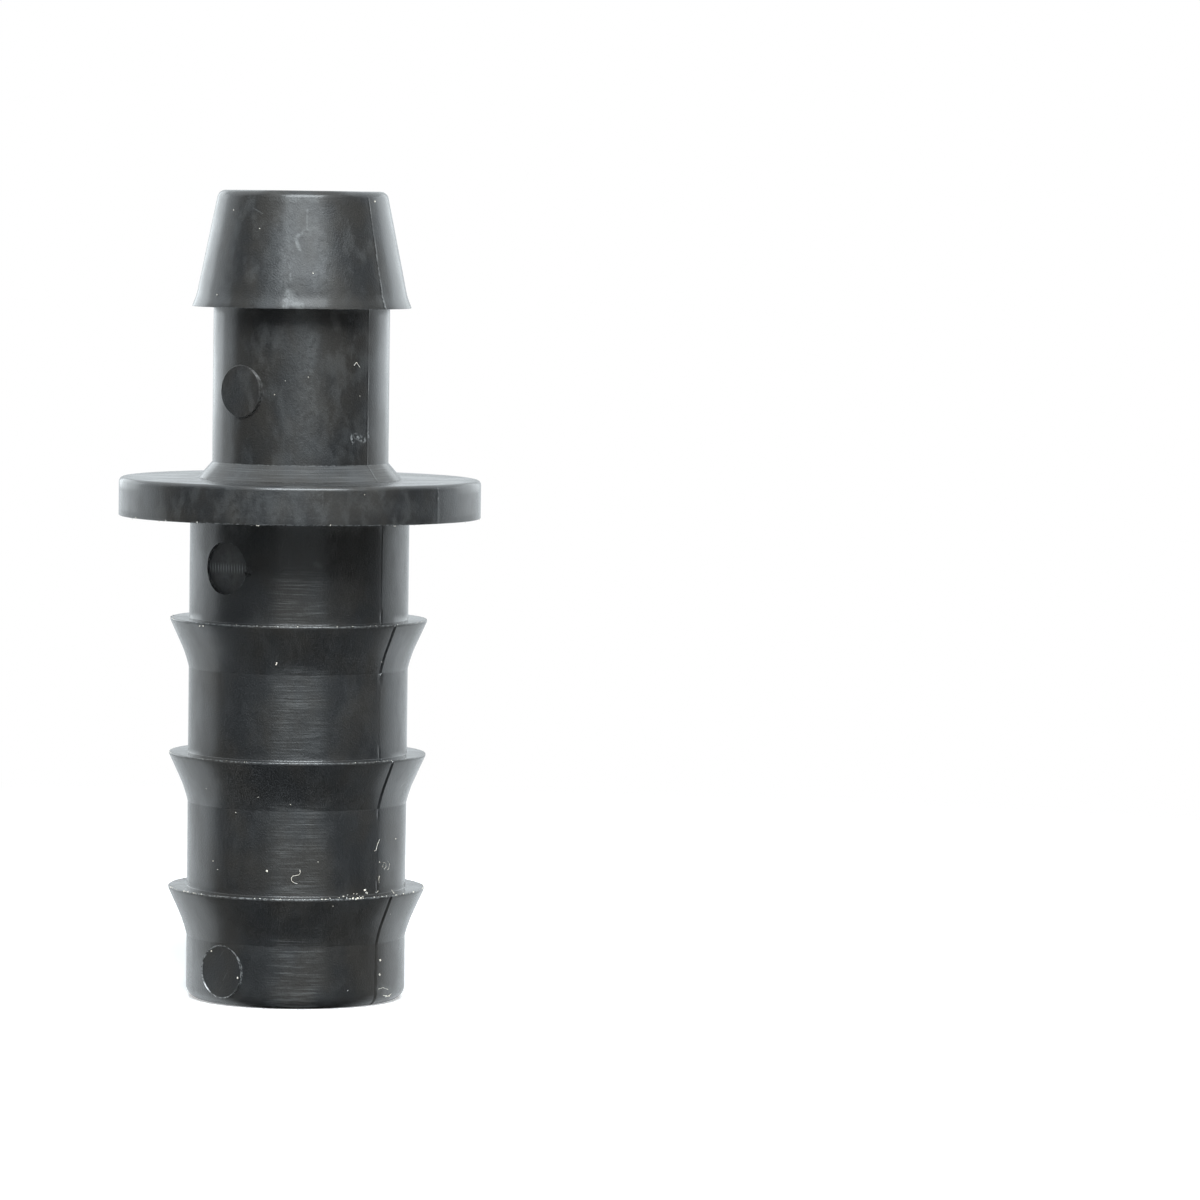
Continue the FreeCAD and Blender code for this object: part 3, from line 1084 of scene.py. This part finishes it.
def end_wear(tree, entry, out, miss, *masks):
    """Ends such a group: full on its line, gone at its reach, and broken up by the grain."""
    near = ramp(tree, maths(tree, "DIVIDE", miss, entry["Reach"]), 1.0, 0.0, smooth=True)
    mask = chain(tree, "MULTIPLY", (near, *masks, entry["Grain"], entry["Amount"]))
    set_inputs(tree, out, {"Mask": mask})


def make_streak():
    """A straight mask between two places, for scuffs and painted highlight.

    Its part along the scuff is held by a minimum and a maximum: Cycles works out every clamp
    last, and would run out of room for what waits for so many of them.
    """
    tree, entry, out = new_wear("streak", (("Start", "Vector", ORIGIN), ("End", "Vector", ORIGIN)))
    along = vectors(tree, "SUBTRACT", entry["End"], entry["Start"])
    off = vectors(tree, "SUBTRACT", entry["Place"], entry["Start"])
    way = vectors(tree, "DOT_PRODUCT", off, along)
    whole = vectors(tree, "DOT_PRODUCT", along, along)
    part = maths(tree, "MAXIMUM", maths(tree, "DIVIDE", way, whole), 0.0)
    held = maths(tree, "MINIMUM", part, 1.0)
    nearest = add_node(tree, "VectorMath", {0: along, "Scale": held}, operation="SCALE")
    end_wear(tree, entry, out, vectors(tree, "DISTANCE", off, nearest.outputs["Vector"]))


def make_worn_rim():
    """Wear along a round rim, given by its height and its distance off the flow axis."""
    tree, entry, out = new_wear("worn_rim", (
        ("Height", "Float", 0.0), ("Distance", "Float", 10.0 * MM),
    ))
    level, height = split_place(tree, entry["Place"])
    outward = maths(tree, "SUBTRACT", vectors(tree, "LENGTH", level), entry["Distance"])
    rise = maths(tree, "SUBTRACT", height, entry["Height"])
    miss = add_node(tree, "CombineXYZ", {"X": outward, "Y": rise}).outputs["Vector"]
    end_wear(tree, entry, out, vectors(tree, "LENGTH", miss))


def make_worn_ring():
    """Wear along a circle about a level axis, on the side of the part that the axis points to."""
    tree, entry, out = new_wear("worn_ring", (
        ("Middle", "Vector", ORIGIN), ("Axis", "Vector", (0.0, 1.0, 0.0)),
        ("Radius", "Float", 1.0 * MM),
    ))
    off = vectors(tree, "SUBTRACT", entry["Place"], entry["Middle"])
    outwards = vectors(tree, "DOT_PRODUCT", off, entry["Axis"])
    this_side = ramp(tree, outwards, *RING_BEHIND)
    distance = vectors(tree, "LENGTH", vectors(tree, "CROSS_PRODUCT", off, entry["Axis"]))
    miss = maths(tree, "ABSOLUTE", maths(tree, "SUBTRACT", distance, entry["Radius"]))
    end_wear(tree, entry, out, miss, this_side)


def new_material(name):
    """A material: its node tree, its shader, and the place in the object's coordinates."""
    material = bpy.data.materials.new(name)
    material.use_nodes = True
    tree = material.node_tree
    return tree, tree.nodes["Principled BSDF"], add_node(tree, "TexCoord").outputs["Object"]


def grain(tree, place, name):
    """The mask of one of the grains."""
    spots, low, high, detail = GRAINS[name]
    return use_group(tree, "grain", {
        "Place": place, "Spots": spots, "From": low, "To": high, "Detail": detail,
    })


# ------------------------------------------------------------ traces of wear and painted highlight

# Scuffs and painted highlight: start and end, each by azimuth, height and distance off the axis;
# width; amount; and if it is crumbled rather than smudged.
SCUFFS_AND_SHEEN = (
    # on the cone barb; the wide faint smudges across its front are painted highlight
    ((5.5, 49.3, 5.46), (5.2, 48.1, 5.71), 0.14, 0.20, False),
    ((5.2, 48.1, 5.71), (-1.9, 47.6, 5.82), 0.24, 0.24, False),
    ((-1.9, 47.6, 5.82), (1.1, 46.8, 5.97), 0.22, 0.32, False),
    ((5.0, 48.0, 5.75), (10.0, 48.1, 5.74), 0.75, 0.14, False),
    ((7.0, 49.0, 5.52), (8.5, 47.4, 5.86), 0.55, 0.08, False),
    ((-4.2, 45.8, 6.22), (-3.9, 44.9, 6.38), 0.14, 0.24, True),
    ((-8.5, 45.5, 6.26), (-9.0, 44.5, 6.46), 0.14, 0.18, True),
    ((-6.3, 45.0, 6.36), (-6.0, 44.3, 6.52), 0.16, 0.14, True),
    ((-4.8, 44.3, 6.54), (-5.8, 43.5, 6.82), 0.42, 0.30, False),
    ((-3.0, 43.7, 6.76), (1.6, 43.5, 6.82), 0.42, 0.34, False),
    ((-3.0, 44.2, 6.58), (-1.0, 43.8, 6.75), 0.42, 0.22, False),
    ((3.0, 46.8, 5.98), (-1.0, 44.6, 6.45), 1.40, 0.06, False),
    ((-9.0, 47.2, 5.90), (-7.0, 45.9, 6.18), 0.90, 0.04, False),
    ((12.0, 46.5, 6.05), (13.0, 44.8, 6.40), 1.00, 0.05, False),
    ((-6.0, 48.6, 5.63), (-8.0, 45.0, 6.35), 1.70, 0.085, False),
    ((11.0, 48.4, 5.67), (13.5, 44.8, 6.39), 1.60, 0.085, False),
    ((4.0, 49.9, 5.30), (6.0, 48.8, 5.56), 1.30, 0.06, False),
    ((-8.0, 49.8, 5.34), (-4.0, 49.0, 5.52), 0.40, 0.08, False),
    ((-10.0, 50.0, 5.30), (8.0, 50.1, 5.28), 0.40, 0.08, False),
    ((51.8, 46.60, 6.03), (51.7, 44.80, 6.40), 0.07, 0.34, True),
    ((51.7, 44.80, 6.40), (51.6, 44.00, 6.57), 0.07, 0.34, True),
    ((51.6, 44.00, 6.57), (51.5, 43.40, 6.79), 0.09, 0.45, True),
    ((51.9, 50.00, 5.34), (51.8, 46.60, 6.03), 0.06, 0.22, True),
    ((-31.7, 49.40, 5.47), (-24.0, 49.05, 5.54), 0.06, 0.120, False),
    ((-7.3, 50.00, 5.35), (11.1, 49.95, 5.36), 0.45, 0.100, False),
    # on the stem; the wide faint smudges in its front are a painted highlight band
    ((37.0, 35.45, 5.5), (39.0, 34.95, 5.5), 0.16, 0.8, True),
    ((41.0, 35.40, 5.5), (48.0, 35.15, 5.5), 0.30, 0.6, True),
    ((51.8, 35.60, 5.5), (52.3, 35.30, 5.5), 0.12, 0.7, True),
    ((-1.0, 40.35, 5.5), (5.0, 40.20, 5.5), 0.25, 0.07, True),
    ((5.0, 39.30, 5.5), (5.5, 37.60, 5.5), 0.12, 0.06, True),
    ((3.0, 37.80, 5.5), (8.0, 37.75, 5.5), 0.07, 0.10, False),
    ((9.5, 41.50, 5.5), (8.5, 40.00, 5.5), 0.75, 0.09, False),
    ((8.0, 38.40, 5.5), (11.5, 36.90, 5.5), 0.70, 0.07, False),
    ((4.7, 42.20, 5.5), (6.5, 34.60, 5.5), 1.30, 0.05, False),
    ((1.8, 39.70, 5.5), (9.5, 39.35, 5.5), 0.40, 0.09, False),
    # on the flange
    ((51.0, 32.50, 11.3), (51.2, 32.15, 11.3), 0.07, 0.40, True),
    ((51.2, 31.80, 11.3), (51.2, 31.55, 11.3), 0.06, 0.35, True),
    ((51.2, 31.10, 11.3), (51.2, 30.30, 11.3), 0.05, 0.15, True),
    ((49.6, 32.40, 11.3), (49.6, 30.40, 11.3), 0.30, 0.025, False),
    ((-18.8, 32.00, 11.3), (-17.4, 30.60, 11.3), 0.90, 0.045, False),
    ((-13.0, 32.00, 11.3), (-11.3, 30.90, 11.3), 0.60, 0.045, False),
    ((22.0, 31.50, 11.3), (46.0, 31.20, 11.3), 0.90, 0.04, False),
    ((-0.5, 32.10, 11.3), (8.2, 32.10, 11.3), 0.40, 0.06, False),
    ((9.6, 32.30, 11.3), (9.8, 30.40, 11.3), 0.08, 0.060, False),
    # on the tube spigot
    ((53.0, 1.10, 6.8), (63.0, 0.75, 6.8), 0.50, 0.12, False),
    ((11.0, 27.60, 6.85), (13.5, 27.50, 6.85), 0.32, 0.05, False),
    ((-28.6, 27.55, 6.85), (-27.0, 27.22, 6.85), 0.08, 0.32, True),
    ((-27.8, 26.78, 6.85), (-26.8, 26.62, 6.85), 0.05, 0.12, True),
    ((-32.5, 3.30, 6.8), (-44.0, 1.40, 6.8), 0.035, 0.10, False),
    ((-30.5, 2.60, 6.8), (-41.0, 0.95, 6.8), 0.030, 0.08, False),
    ((-38.0, 3.50, 6.8), (-47.5, 2.10, 6.8), 0.030, 0.09, False),
    ((-35.0, 2.30, 6.8), (-38.5, 1.60, 6.8), 0.045, 0.10, False),
    ((-31.8, 4.53, 6.95), (-26.0, 4.50, 6.95), 0.05, 0.16, False),
    ((-15.0, 4.65, 6.95), (-11.0, 4.66, 6.95), 0.05, 0.16, False),
    ((65.2, 13.57, 7.25), (71.9, 14.20, 7.52), 0.06, 0.250, False),
)
# Wear round each pin mark: its reach, and its amount as a share of the finish's wear.
MARK_WEAR = {"end": (0.075 * MM, 1.0), "neck": (0.07 * MM, 0.25), "stem": (0.06 * MM, 0.2)}
# The same for the sharp rims: the barbs' from the end up, the flange's lower and upper rim, the
# cone barb's edge, and the top of the foot.
BARB_WEAR = ((0.16 * MM, 1.0), (0.16 * MM, 0.55), (0.16 * MM, 0.6))
UNDER_WEAR = (0.12 * MM, 0.5)
SEAT_WEAR = (0.22 * MM, 0.2)
TIP_WEAR = (0.10 * MM, 0.3)
FOOT_WEAR = (0.06 * MM, 0.4)
# How pale the pin marks' faces are painted, which is a painted highlight, how far that reaches in
# mark diameters, and the length of the streak that it is drawn with.
FACE_SHEEN_TONES = {"neck": 0.070, "stem": 0.020}
FACE_REACH = 0.62
FACE_STREAK = 0.2 * MM
# The upright lines on the sunk mark's face: the waves that draw them, the part of a wave that
# shows, half the band's length and its reach in mark diameters, and its amount.
MILL_WAVES = {"Scale": 1400.0, "Distortion": 1.2, "Detail": 1.0, "Detail Scale": 0.8}
MILL_PART = (0.45, 0.95)
MILL_LENGTH = 0.38
MILL_REACH = 0.15
MILL_AMOUNT = 0.26
# The turning rings on the foot: how far over the flange they start, over what height they fade
# in and out, and their amount.
RING_START = 0.03 * MM
RING_FADE = 0.05 * MM
RING_AMOUNT = 0.13


def wear(tree, group, shape, place, broken_by, reach, amount):
    """The mask of one trace of wear, or of one painted highlight."""
    common = {"Place": place, "Grain": broken_by, "Reach": reach, "Amount": amount}
    return use_group(tree, group, {**shape, **common})


def height_band(tree, height, low, high, fade, amount):
    """A mask of a band of heights that fades in at its lower and out at its upper end."""
    rising = ramp(tree, height, low, low + fade, end=amount)
    falling = ramp(tree, height, high, high - fade)
    return maths(tree, "MULTIPLY", rising, falling)


def worn_rims(size):
    """The sharp rims: height, distance off the axis, reach and amount of their wear."""
    at = key_heights(size)
    barb = size.barrel / 2 + size.barb_rise
    rims = [(edge, barb, *given) for edge, given in zip(at["edges"], BARB_WEAR)]
    return rims + [
        (at["under"], size.flange / 2, *UNDER_WEAR),
        (at["seat"], size.flange / 2, *SEAT_WEAR),
        (at["tip"], size.stem / 2 + size.tip_rise, *TIP_WEAR),
        (at["seat"] + size.foot_height, size.stem / 2, *FOOT_WEAR),
    ]


def painted_face_sheen(tree, place, smudges, size):
    """Painted highlight: paler colour on the faces of the two upper pin marks."""
    traces = settings("mould_traces")
    for name, tone in FACE_SHEEN_TONES.items():
        height, _, distance = pin_marks(size)[name]
        middle = at_side(traces.mark_side, distance, height)
        shape = {"Start": middle, "End": middle + Vector((0.0, 0.0, FACE_STREAK))}
        reach = traces.mark * FACE_REACH
        yield wear(tree, "streak", shape, place, smudges, reach, tone)


def mill_lines(tree, place, size):
    """Fine upright lines across the face of the sunk pin mark."""
    traces = settings("mould_traces")
    side, mark = traces.mark_side, traces.mark
    height, _, distance = pin_marks(size)["neck"]
    middle = at_side(side, distance, height)
    across = bearing(side + math.pi / 2) * mark * MILL_LENGTH
    turned = add_node(tree, "Mapping", {"Vector": place, "Rotation": (0.0, 0.0, -side)})
    waves = add_node(tree, "TexWave", {"Vector": turned.outputs["Vector"], **MILL_WAVES})
    lines = ramp(tree, waves.outputs["Fac"], *MILL_PART)
    shape = {"Start": middle - across, "End": middle + across}
    return wear(tree, "streak", shape, place, lines, mark * MILL_REACH, MILL_AMOUNT)


def foot_rings(tree, place, height, size):
    """Fine turning rings on the foot of the stem."""
    seat = key_heights(size)["seat"]
    foot = height_band(
        tree, height, seat + RING_START, seat + size.foot_height, RING_FADE, RING_AMOUNT,
    )
    return maths(tree, "MULTIPLY", foot, grain(tree, place, "foot_rings"))


def wear_and_sheen(tree, place, height, finish, size):
    """The masks of all traces of wear and of the painted highlights, one by one."""
    side = settings("mould_traces").mark_side
    mark = settings("mould_traces").mark
    crumbs = grain(tree, place, "crumbs")
    smudges = grain(tree, place, "smudges")
    for start, end, wide, amount, crumbled in SCUFFS_AND_SHEEN:
        shape = {"Start": spot(*start), "End": spot(*end)}
        broken_by = crumbs if crumbled else smudges
        yield wear(tree, "streak", shape, place, broken_by, wide * MM, amount)
    for name, (reach, amount) in MARK_WEAR.items():
        middle_height, distance, _ = pin_marks(size)[name]
        shape = {
            "Middle": at_side(side, distance, middle_height), "Axis": bearing(side),
            "Radius": mark / 2,
        }
        yield wear(tree, "worn_ring", shape, place, crumbs, reach, finish.wear * amount)
    for rim_height, distance, reach, amount in worn_rims(size):
        shape = {"Height": rim_height, "Distance": distance}
        yield wear(tree, "worn_rim", shape, place, crumbs, reach, finish.wear * amount)
    yield from painted_face_sheen(tree, place, smudges, size)
    yield mill_lines(tree, place, size)
    yield foot_rings(tree, place, height, size)


# -------------------------------------------------------- the plastic's skin

# The azimuth that the tool lines face, and how nearly a place faces it where they start and where
# they are full; the same for the wide front in which the shine is worn. The tool lines are real,
# but they whiten the plastic only in that front, where the highlight falls: partly painted
# highlight.
LINES_SIDE = math.radians(2.5)
LINES_FRONT = (0.95, 0.998)
WIDE_FRONT = (0.82, 0.95)
# How strong the tool lines and the painted front sheen are on the stem beside those on the barrel.
STEM_LINES = 0.3
# Where the tool lines and the painted sheen run: how far over the barrel and how far under the
# flange they are gone and are full, which keeps them out of the flange's shade, and over what
# height they start on the stem and end at its top.
LINES_OVER = (0.2 * MM, 0.05 * MM)
LINES_UNDER = (2.4 * MM, 4.4 * MM)
LINES_START = 0.05 * MM
LINES_STOP = 0.1 * MM
# The bands of heights in which the shine is worn: the key height that each lies at, how far it
# runs below and above, how far it fades at both ends, and its amount.
WORN_BANDS = (
    ("tip", 1.0 * MM, 2.4 * MM, 1.0 * MM, 1.0),
    ("top", 0.9 * MM, 1.0 * MM, 0.5 * MM, 0.8),
    ("seat", 0.5 * MM, 0.02 * MM, 0.2 * MM, 0.7),
)


def front_masks(tree, level, height, size):
    """Masks of the places with tool lines and painted highlight, and of the wide front and back of
    the part.
    """
    at = key_heights(size)
    barrel = size.barrel / 2
    off_axis = vectors(tree, "LENGTH", level)
    plain = ramp(tree, off_axis, *(barrel + over for over in LINES_OVER))
    low = ramp(tree, height, *(at["under"] - drop for drop in LINES_UNDER))
    stem = ramp(tree, height, at["seat"], at["seat"] + LINES_START, end=STEM_LINES)
    below_tip = ramp(tree, height, at["tip"], at["tip"] - LINES_STOP)
    around = vectors(tree, "NORMALIZE", level)
    towards = vectors(tree, "DOT_PRODUCT", around, bearing(LINES_SIDE))
    facing = maths(tree, "ABSOLUTE", towards)
    sheen_zone = chain(tree, "MULTIPLY", (
        maths(tree, "MAXIMUM", low, stem), below_tip, plain,
        ramp(tree, facing, *LINES_FRONT, smooth=True),
    ))
    return sheen_zone, ramp(tree, facing, *WIDE_FRONT, smooth=True)


def worn_shine(tree, height, wide_front, size):
    """Where the shine is worn: the cone barb's skirt and nose and the flange's upper rim."""
    at = key_heights(size)
    worn = chain(tree, "MAXIMUM", (
        height_band(tree, height, at[key] - below, at[key] + above, fade, amount)
        for key, below, above, fade, amount in WORN_BANDS
    ))
    return maths(tree, "MULTIPLY", worn, wide_front)


def make_black(finish, size):
    """The black plastic: cloudy and hazy, with tool lines, wear, painted highlights and a skin that
    shines.
    """
    tree, shader, place = new_material(PLASTIC)
    level, height = split_place(tree, place)
    under = key_heights(size)["under"]
    # worn holds the wear and, in part, painted highlight: the pin marks' pale faces and wide
    # smudges.
    worn = chain(tree, "MAXIMUM", wear_and_sheen(tree, place, height, finish, size))
    clouds = grain(tree, place, "clouds")
    haze = grain(tree, place, "haze")
    sheen_zone, wide_front = front_masks(tree, level, height, size)
    lines = chain(tree, "MULTIPLY", (
        grain(tree, place, "tool_lines"), grain(tree, place, "line_patches"), sheen_zone,
    ))

    plastic = blend(tree, clouds, (*finish.base, 1.0), (*finish.warm, 1.0))
    # Painted highlight: the front of the barrel and the stem is painted paler as a whole, and the
    # tool lines whiten only there.
    painted_front_sheen = maths(tree, "MULTIPLY", sheen_zone, PAINTED_FRONT_SHEEN)
    line_sheen_tone = maths(tree, "MULTIPLY_ADD", lines, finish.line_sheen_tone, painted_front_sheen)
    thin_haze = finish.haze * LOW_HAZE
    most_haze = ramp(tree, height, under - HAZE_FADE, under, thin_haze, finish.haze)
    pale = chain(tree, "MAXIMUM", (line_sheen_tone, maths(tree, "MULTIPLY", haze, most_haze), worn))

    least, most = CLOUD_ROUGHNESS
    cloudy = ramp(tree, clouds, 0.0, 1.0, finish.gloss + least, finish.gloss + most)
    hazy = maths(tree, "MULTIPLY_ADD", haze, HAZE_ROUGHNESS, cloudy)

    skin = maths(tree, "SUBTRACT", ramp(tree, clouds, 0.0, 1.0, 1.0, CLOUD_SHINE), worn, clamp=True)
    dulled = worn_shine(tree, height, wide_front, size)
    left = maths(tree, "MULTIPLY_ADD", dulled, -WORN_SHINE, 1.0)

    relief = maths(tree, "MULTIPLY_ADD", lines, LINE_RELIEF, grain(tree, place, "fine"))
    bump = add_node(tree, "Bump", {
        "Height": relief, "Strength": 1.0, "Distance": finish.grain_depth,
    })
    set_inputs(tree, shader, {
        "Base Color": blend(tree, pale, plastic, (*finish.scuff, 1.0)),
        "Roughness": maths(tree, "MULTIPLY_ADD", worn, WEAR_ROUGHNESS, hazy),
        "IOR": 1.5,
        "Coat Weight": maths(tree, "MULTIPLY", left, skin),
        "Coat Roughness": finish.skin_gloss,
        "Coat IOR": 1.6,
        "Normal": bump.outputs["Normal"],
    })


def make_pale(finish):
    """The pale plastic of thin flash and torn edges, which whiten where they were bent."""
    tree, shader, place = new_material(PALE)
    torn = grain(tree, place, "torn")
    bump = add_node(tree, "Bump", {
        "Height": torn, "Strength": 1.0, "Distance": finish.grain_depth,
    })
    set_inputs(tree, shader, {
        "Base Color": blend(tree, torn, (*finish.scuff, 1.0), (*finish.torn, 1.0)),
        "Roughness": 0.6,
        "Normal": bump.outputs["Normal"],
    })


class COUPLING_OT_plastic(bpy.types.Operator):
    """Makes the black plastic of the moulding and the pale plastic of its flash"""

    bl_idname = "coupling.plastic"
    bl_label = "Black Plastic"

    def execute(self, context):
        make_grain()
        make_streak()
        make_worn_rim()
        make_worn_ring()
        finish = settings("plastic_finish")
        make_black(finish, settings("coupling_sizes"))
        make_pale(finish)
        return {"FINISHED"}


# --------------------------------------------------------------------- stage

WHITE = (1.0, 1.0, 1.0, 1.0)
FLOOR_SIDE = 6.0
# The place that directions on the floor are taken from, a little in front of the flow axis.
FLOOR_CENTRE = Vector((0.0, -6.0 * MM, 0.0))
# The soft edge of the white backdrop in reflections: how nearly a place or direction lies towards
# it where the white starts and where it is full.
BACKDROP_EDGE = (0.0, 0.38)
# The glowing patch of the floor, which shows only in reflections, a painted reflection: how nearly
# a place lies in its direction where it starts and is full, and how far from the part it starts and
# is full.
PATCH_SPREAD = (0.88, 0.94)
PATCH_START = (60.0 * MM, 100.0 * MM)
# The lamps: the property of their power, their place and their sides. All face the part's middle.
LAMPS = {
    "key_light": ("key_power", (0.04, -0.41, 0.50), (0.48, 0.32)),
    "front_light": ("front_power", (0.057, -0.66, 0.36), (0.66, 0.32)),
    "left_rim": ("left_power", (-0.48, 0.62, 0.10), (0.6, 0.5)),
    "right_rim": ("right_power", (0.48, 0.62, 0.10), (0.6, 0.5)),
}
LAMP_AIM = Vector((0.0, 0.0, 30.0 * MM))


def grey(value):
    """A grey as a colour with its alpha."""
    return (value, value, value, 1.0)


def floor_material(studio):
    """Pale floor: keeps shadows, white far off, painted shade in front and a glow in reflections.
    """
    material = bpy.data.materials.new("pale_floor")
    material.use_nodes = True
    tree = material.node_tree
    tree.nodes.remove(tree.nodes["Principled BSDF"])
    rays = add_node(tree, "LightPath").outputs
    camera, glossy = rays["Is Camera Ray"], rays["Is Glossy Ray"]
    place = add_node(tree, "TexCoord").outputs["Object"]
    distance = vectors(tree, "LENGTH", place)
    around = vectors(tree, "NORMALIZE", vectors(tree, "SUBTRACT", place, FLOOR_CENTRE))
    behind = vectors(tree, "DOT_PRODUCT", around, bearing(studio.room_turn))
    ahead = vectors(tree, "DOT_PRODUCT", around, bearing(studio.patch_side))

    front = ramp(tree, behind, *reversed(BACKDROP_EDGE), smooth=True)
    dimmed = maths(tree, "MULTIPLY", front, glossy)
    patch = ramp(tree, ahead, *PATCH_SPREAD, end=studio.patch, smooth=True)
    away = ramp(tree, distance, *PATCH_START, smooth=True)
    glowing_patch = chain(tree, "MULTIPLY", (patch, away, dimmed))
    lit = maths(tree, "SUBTRACT", maths(tree, "MAXIMUM", camera, glossy), dimmed)
    fill = maths(tree, "MULTIPLY_ADD", lit, studio.floor_fill, glowing_patch)
    far = ramp(tree, distance, studio.floor_fade / 2, studio.floor_fade, smooth=True)

    mirrored = blend(tree, front, grey(studio.floor_back), grey(studio.floor_front))
    tone = blend(tree, glossy, grey(studio.floor_tone), mirrored)
    tint = blend(tree, camera, (*studio.cool, 1.0), WHITE)
    floor = add_node(tree, "AddShader", {
        0: add_node(tree, "BsdfDiffuse", {"Color": tone}).outputs[0],
        1: add_node(tree, "Emission", {"Color": tint, "Strength": fill}).outputs[0],
    })
    surface = add_node(tree, "MixShader", {
        "Fac": maths(tree, "MULTIPLY", lit, far),
        1: floor.outputs[0],
        2: add_node(tree, "Emission", {"Color": tint, "Strength": 1.0}).outputs[0],
    })
    set_inputs(tree, tree.nodes["Material Output"], {"Surface": surface.outputs[0]})
    return material


def add_floor(studio):
    """The plain floor that the coupling stands on."""
    bpy.ops.object.select_all(action="DESELECT")
    bpy.ops.mesh.primitive_plane_add(size=FLOOR_SIDE)
    floor = bpy.context.object
    floor.name = "floor"
    floor.data.materials.append(floor_material(studio))


def light_room(studio):
    """White behind the coupling, for the camera and in reflections, and dimmer in front."""
    world = bpy.data.worlds.new("white_room")
    bpy.context.scene.world = world
    world.use_nodes = True
    tree = world.node_tree
    rays = add_node(tree, "LightPath").outputs
    camera, glossy = rays["Is Camera Ray"], rays["Is Glossy Ray"]
    direction = add_node(tree, "TexCoord").outputs["Generated"]
    level, rise = math.cos(studio.room_tilt), math.sin(studio.room_tilt)
    behind = vectors(tree, "DOT_PRODUCT", direction, at_side(studio.room_turn, level, rise))
    depth = ramp(tree, behind, *BACKDROP_EDGE, studio.room_front, 1.0, smooth=True)
    mirrored = blend(tree, glossy, studio.room_level, depth, "FLOAT")
    set_inputs(tree, tree.nodes["Background"], {
        "Color": blend(tree, camera, (*studio.cool, 1.0), WHITE),
        "Strength": blend(tree, camera, mirrored, 1.0, "FLOAT"),
    })


def add_lamps(studio):
    """A key light high in front, a softer one under it, and two large rim lights behind."""
    for name, (power, place, sides) in LAMPS.items():
        light = bpy.data.lights.new(name, "AREA")
        light.energy = getattr(studio, power)
        light.color = studio.cool
        light.shape = "RECTANGLE"
        light.size, light.size_y = sides
        lamp = bpy.data.objects.new(name, light)
        bpy.context.scene.collection.objects.link(lamp)
        lamp.location = place
        view = LAMP_AIM - Vector(place)
        lamp.rotation_euler = view.to_track_quat("-Z", "Y").to_euler()


def add_camera(studio):
    """The photo's camera, which looks a little down and is a little rolled."""
    camera = bpy.data.cameras.new("photo_camera")
    camera.lens = studio.lens
    camera.sensor_width = studio.sensor
    camera.clip_start = 10.0 * MM
    holder = bpy.data.objects.new("photo_camera", camera)
    bpy.context.scene.collection.objects.link(holder)
    level = Matrix.Rotation(math.pi / 2 - studio.camera_pitch, 4, "X")
    roll = Matrix.Rotation(-studio.camera_roll, 4, "Y")
    holder.matrix_world = Matrix.Translation(studio.camera_place) @ roll @ level
    bpy.context.scene.camera = holder


class COUPLING_OT_studio(bpy.types.Operator):
    """Sets up the floor, the white room, the lamps and the camera"""

    bl_idname = "coupling.studio"
    bl_label = "Studio"

    def execute(self, context):
        studio = settings("studio_setup")
        add_floor(studio)
        light_room(studio)
        add_lamps(studio)
        add_camera(studio)
        context.scene.view_settings.view_transform = "Standard"
        return {"FINISHED"}


# --------------------------------------------------------------------- panel


PIECES = (COUPLING_OT_plastic, COUPLING_OT_moulding, COUPLING_OT_flash, COUPLING_OT_studio)
GROUPS = {
    "coupling_sizes": CouplingSizes,
    "mould_traces": MouldTraces,
    "plastic_finish": PlasticFinish,
    "studio_setup": StudioSetup,
}


class COUPLING_PT_pieces(bpy.types.Panel):
    """Lists the coupling's pieces and the studio"""

    bl_idname = "COUPLING_PT_pieces"
    bl_label = "Drip Tube Coupling"
    bl_space_type = "VIEW_3D"
    bl_region_type = "UI"
    bl_category = "Coupling"

    def draw(self, context):
        for piece in PIECES:
            self.layout.operator(piece.bl_idname)


def register():
    for group in GROUPS.values():
        bpy.utils.register_class(group)
    for piece in PIECES:
        bpy.utils.register_class(piece)
    bpy.utils.register_class(COUPLING_PT_pieces)
    for name, group in GROUPS.items():
        setattr(bpy.types.Scene, name, PointerProperty(type=group))


def unregister():
    for name in GROUPS:
        delattr(bpy.types.Scene, name)
    bpy.utils.unregister_class(COUPLING_PT_pieces)
    for piece in reversed(PIECES):
        bpy.utils.unregister_class(piece)
    for group in reversed(GROUPS.values()):
        bpy.utils.unregister_class(group)


def main():
    """Makes every piece and the studio."""
    register()
    bpy.ops.coupling.plastic()
    bpy.ops.coupling.moulding()
    bpy.ops.coupling.flash()
    bpy.ops.coupling.studio()


if __name__ == "__main__":
    main()
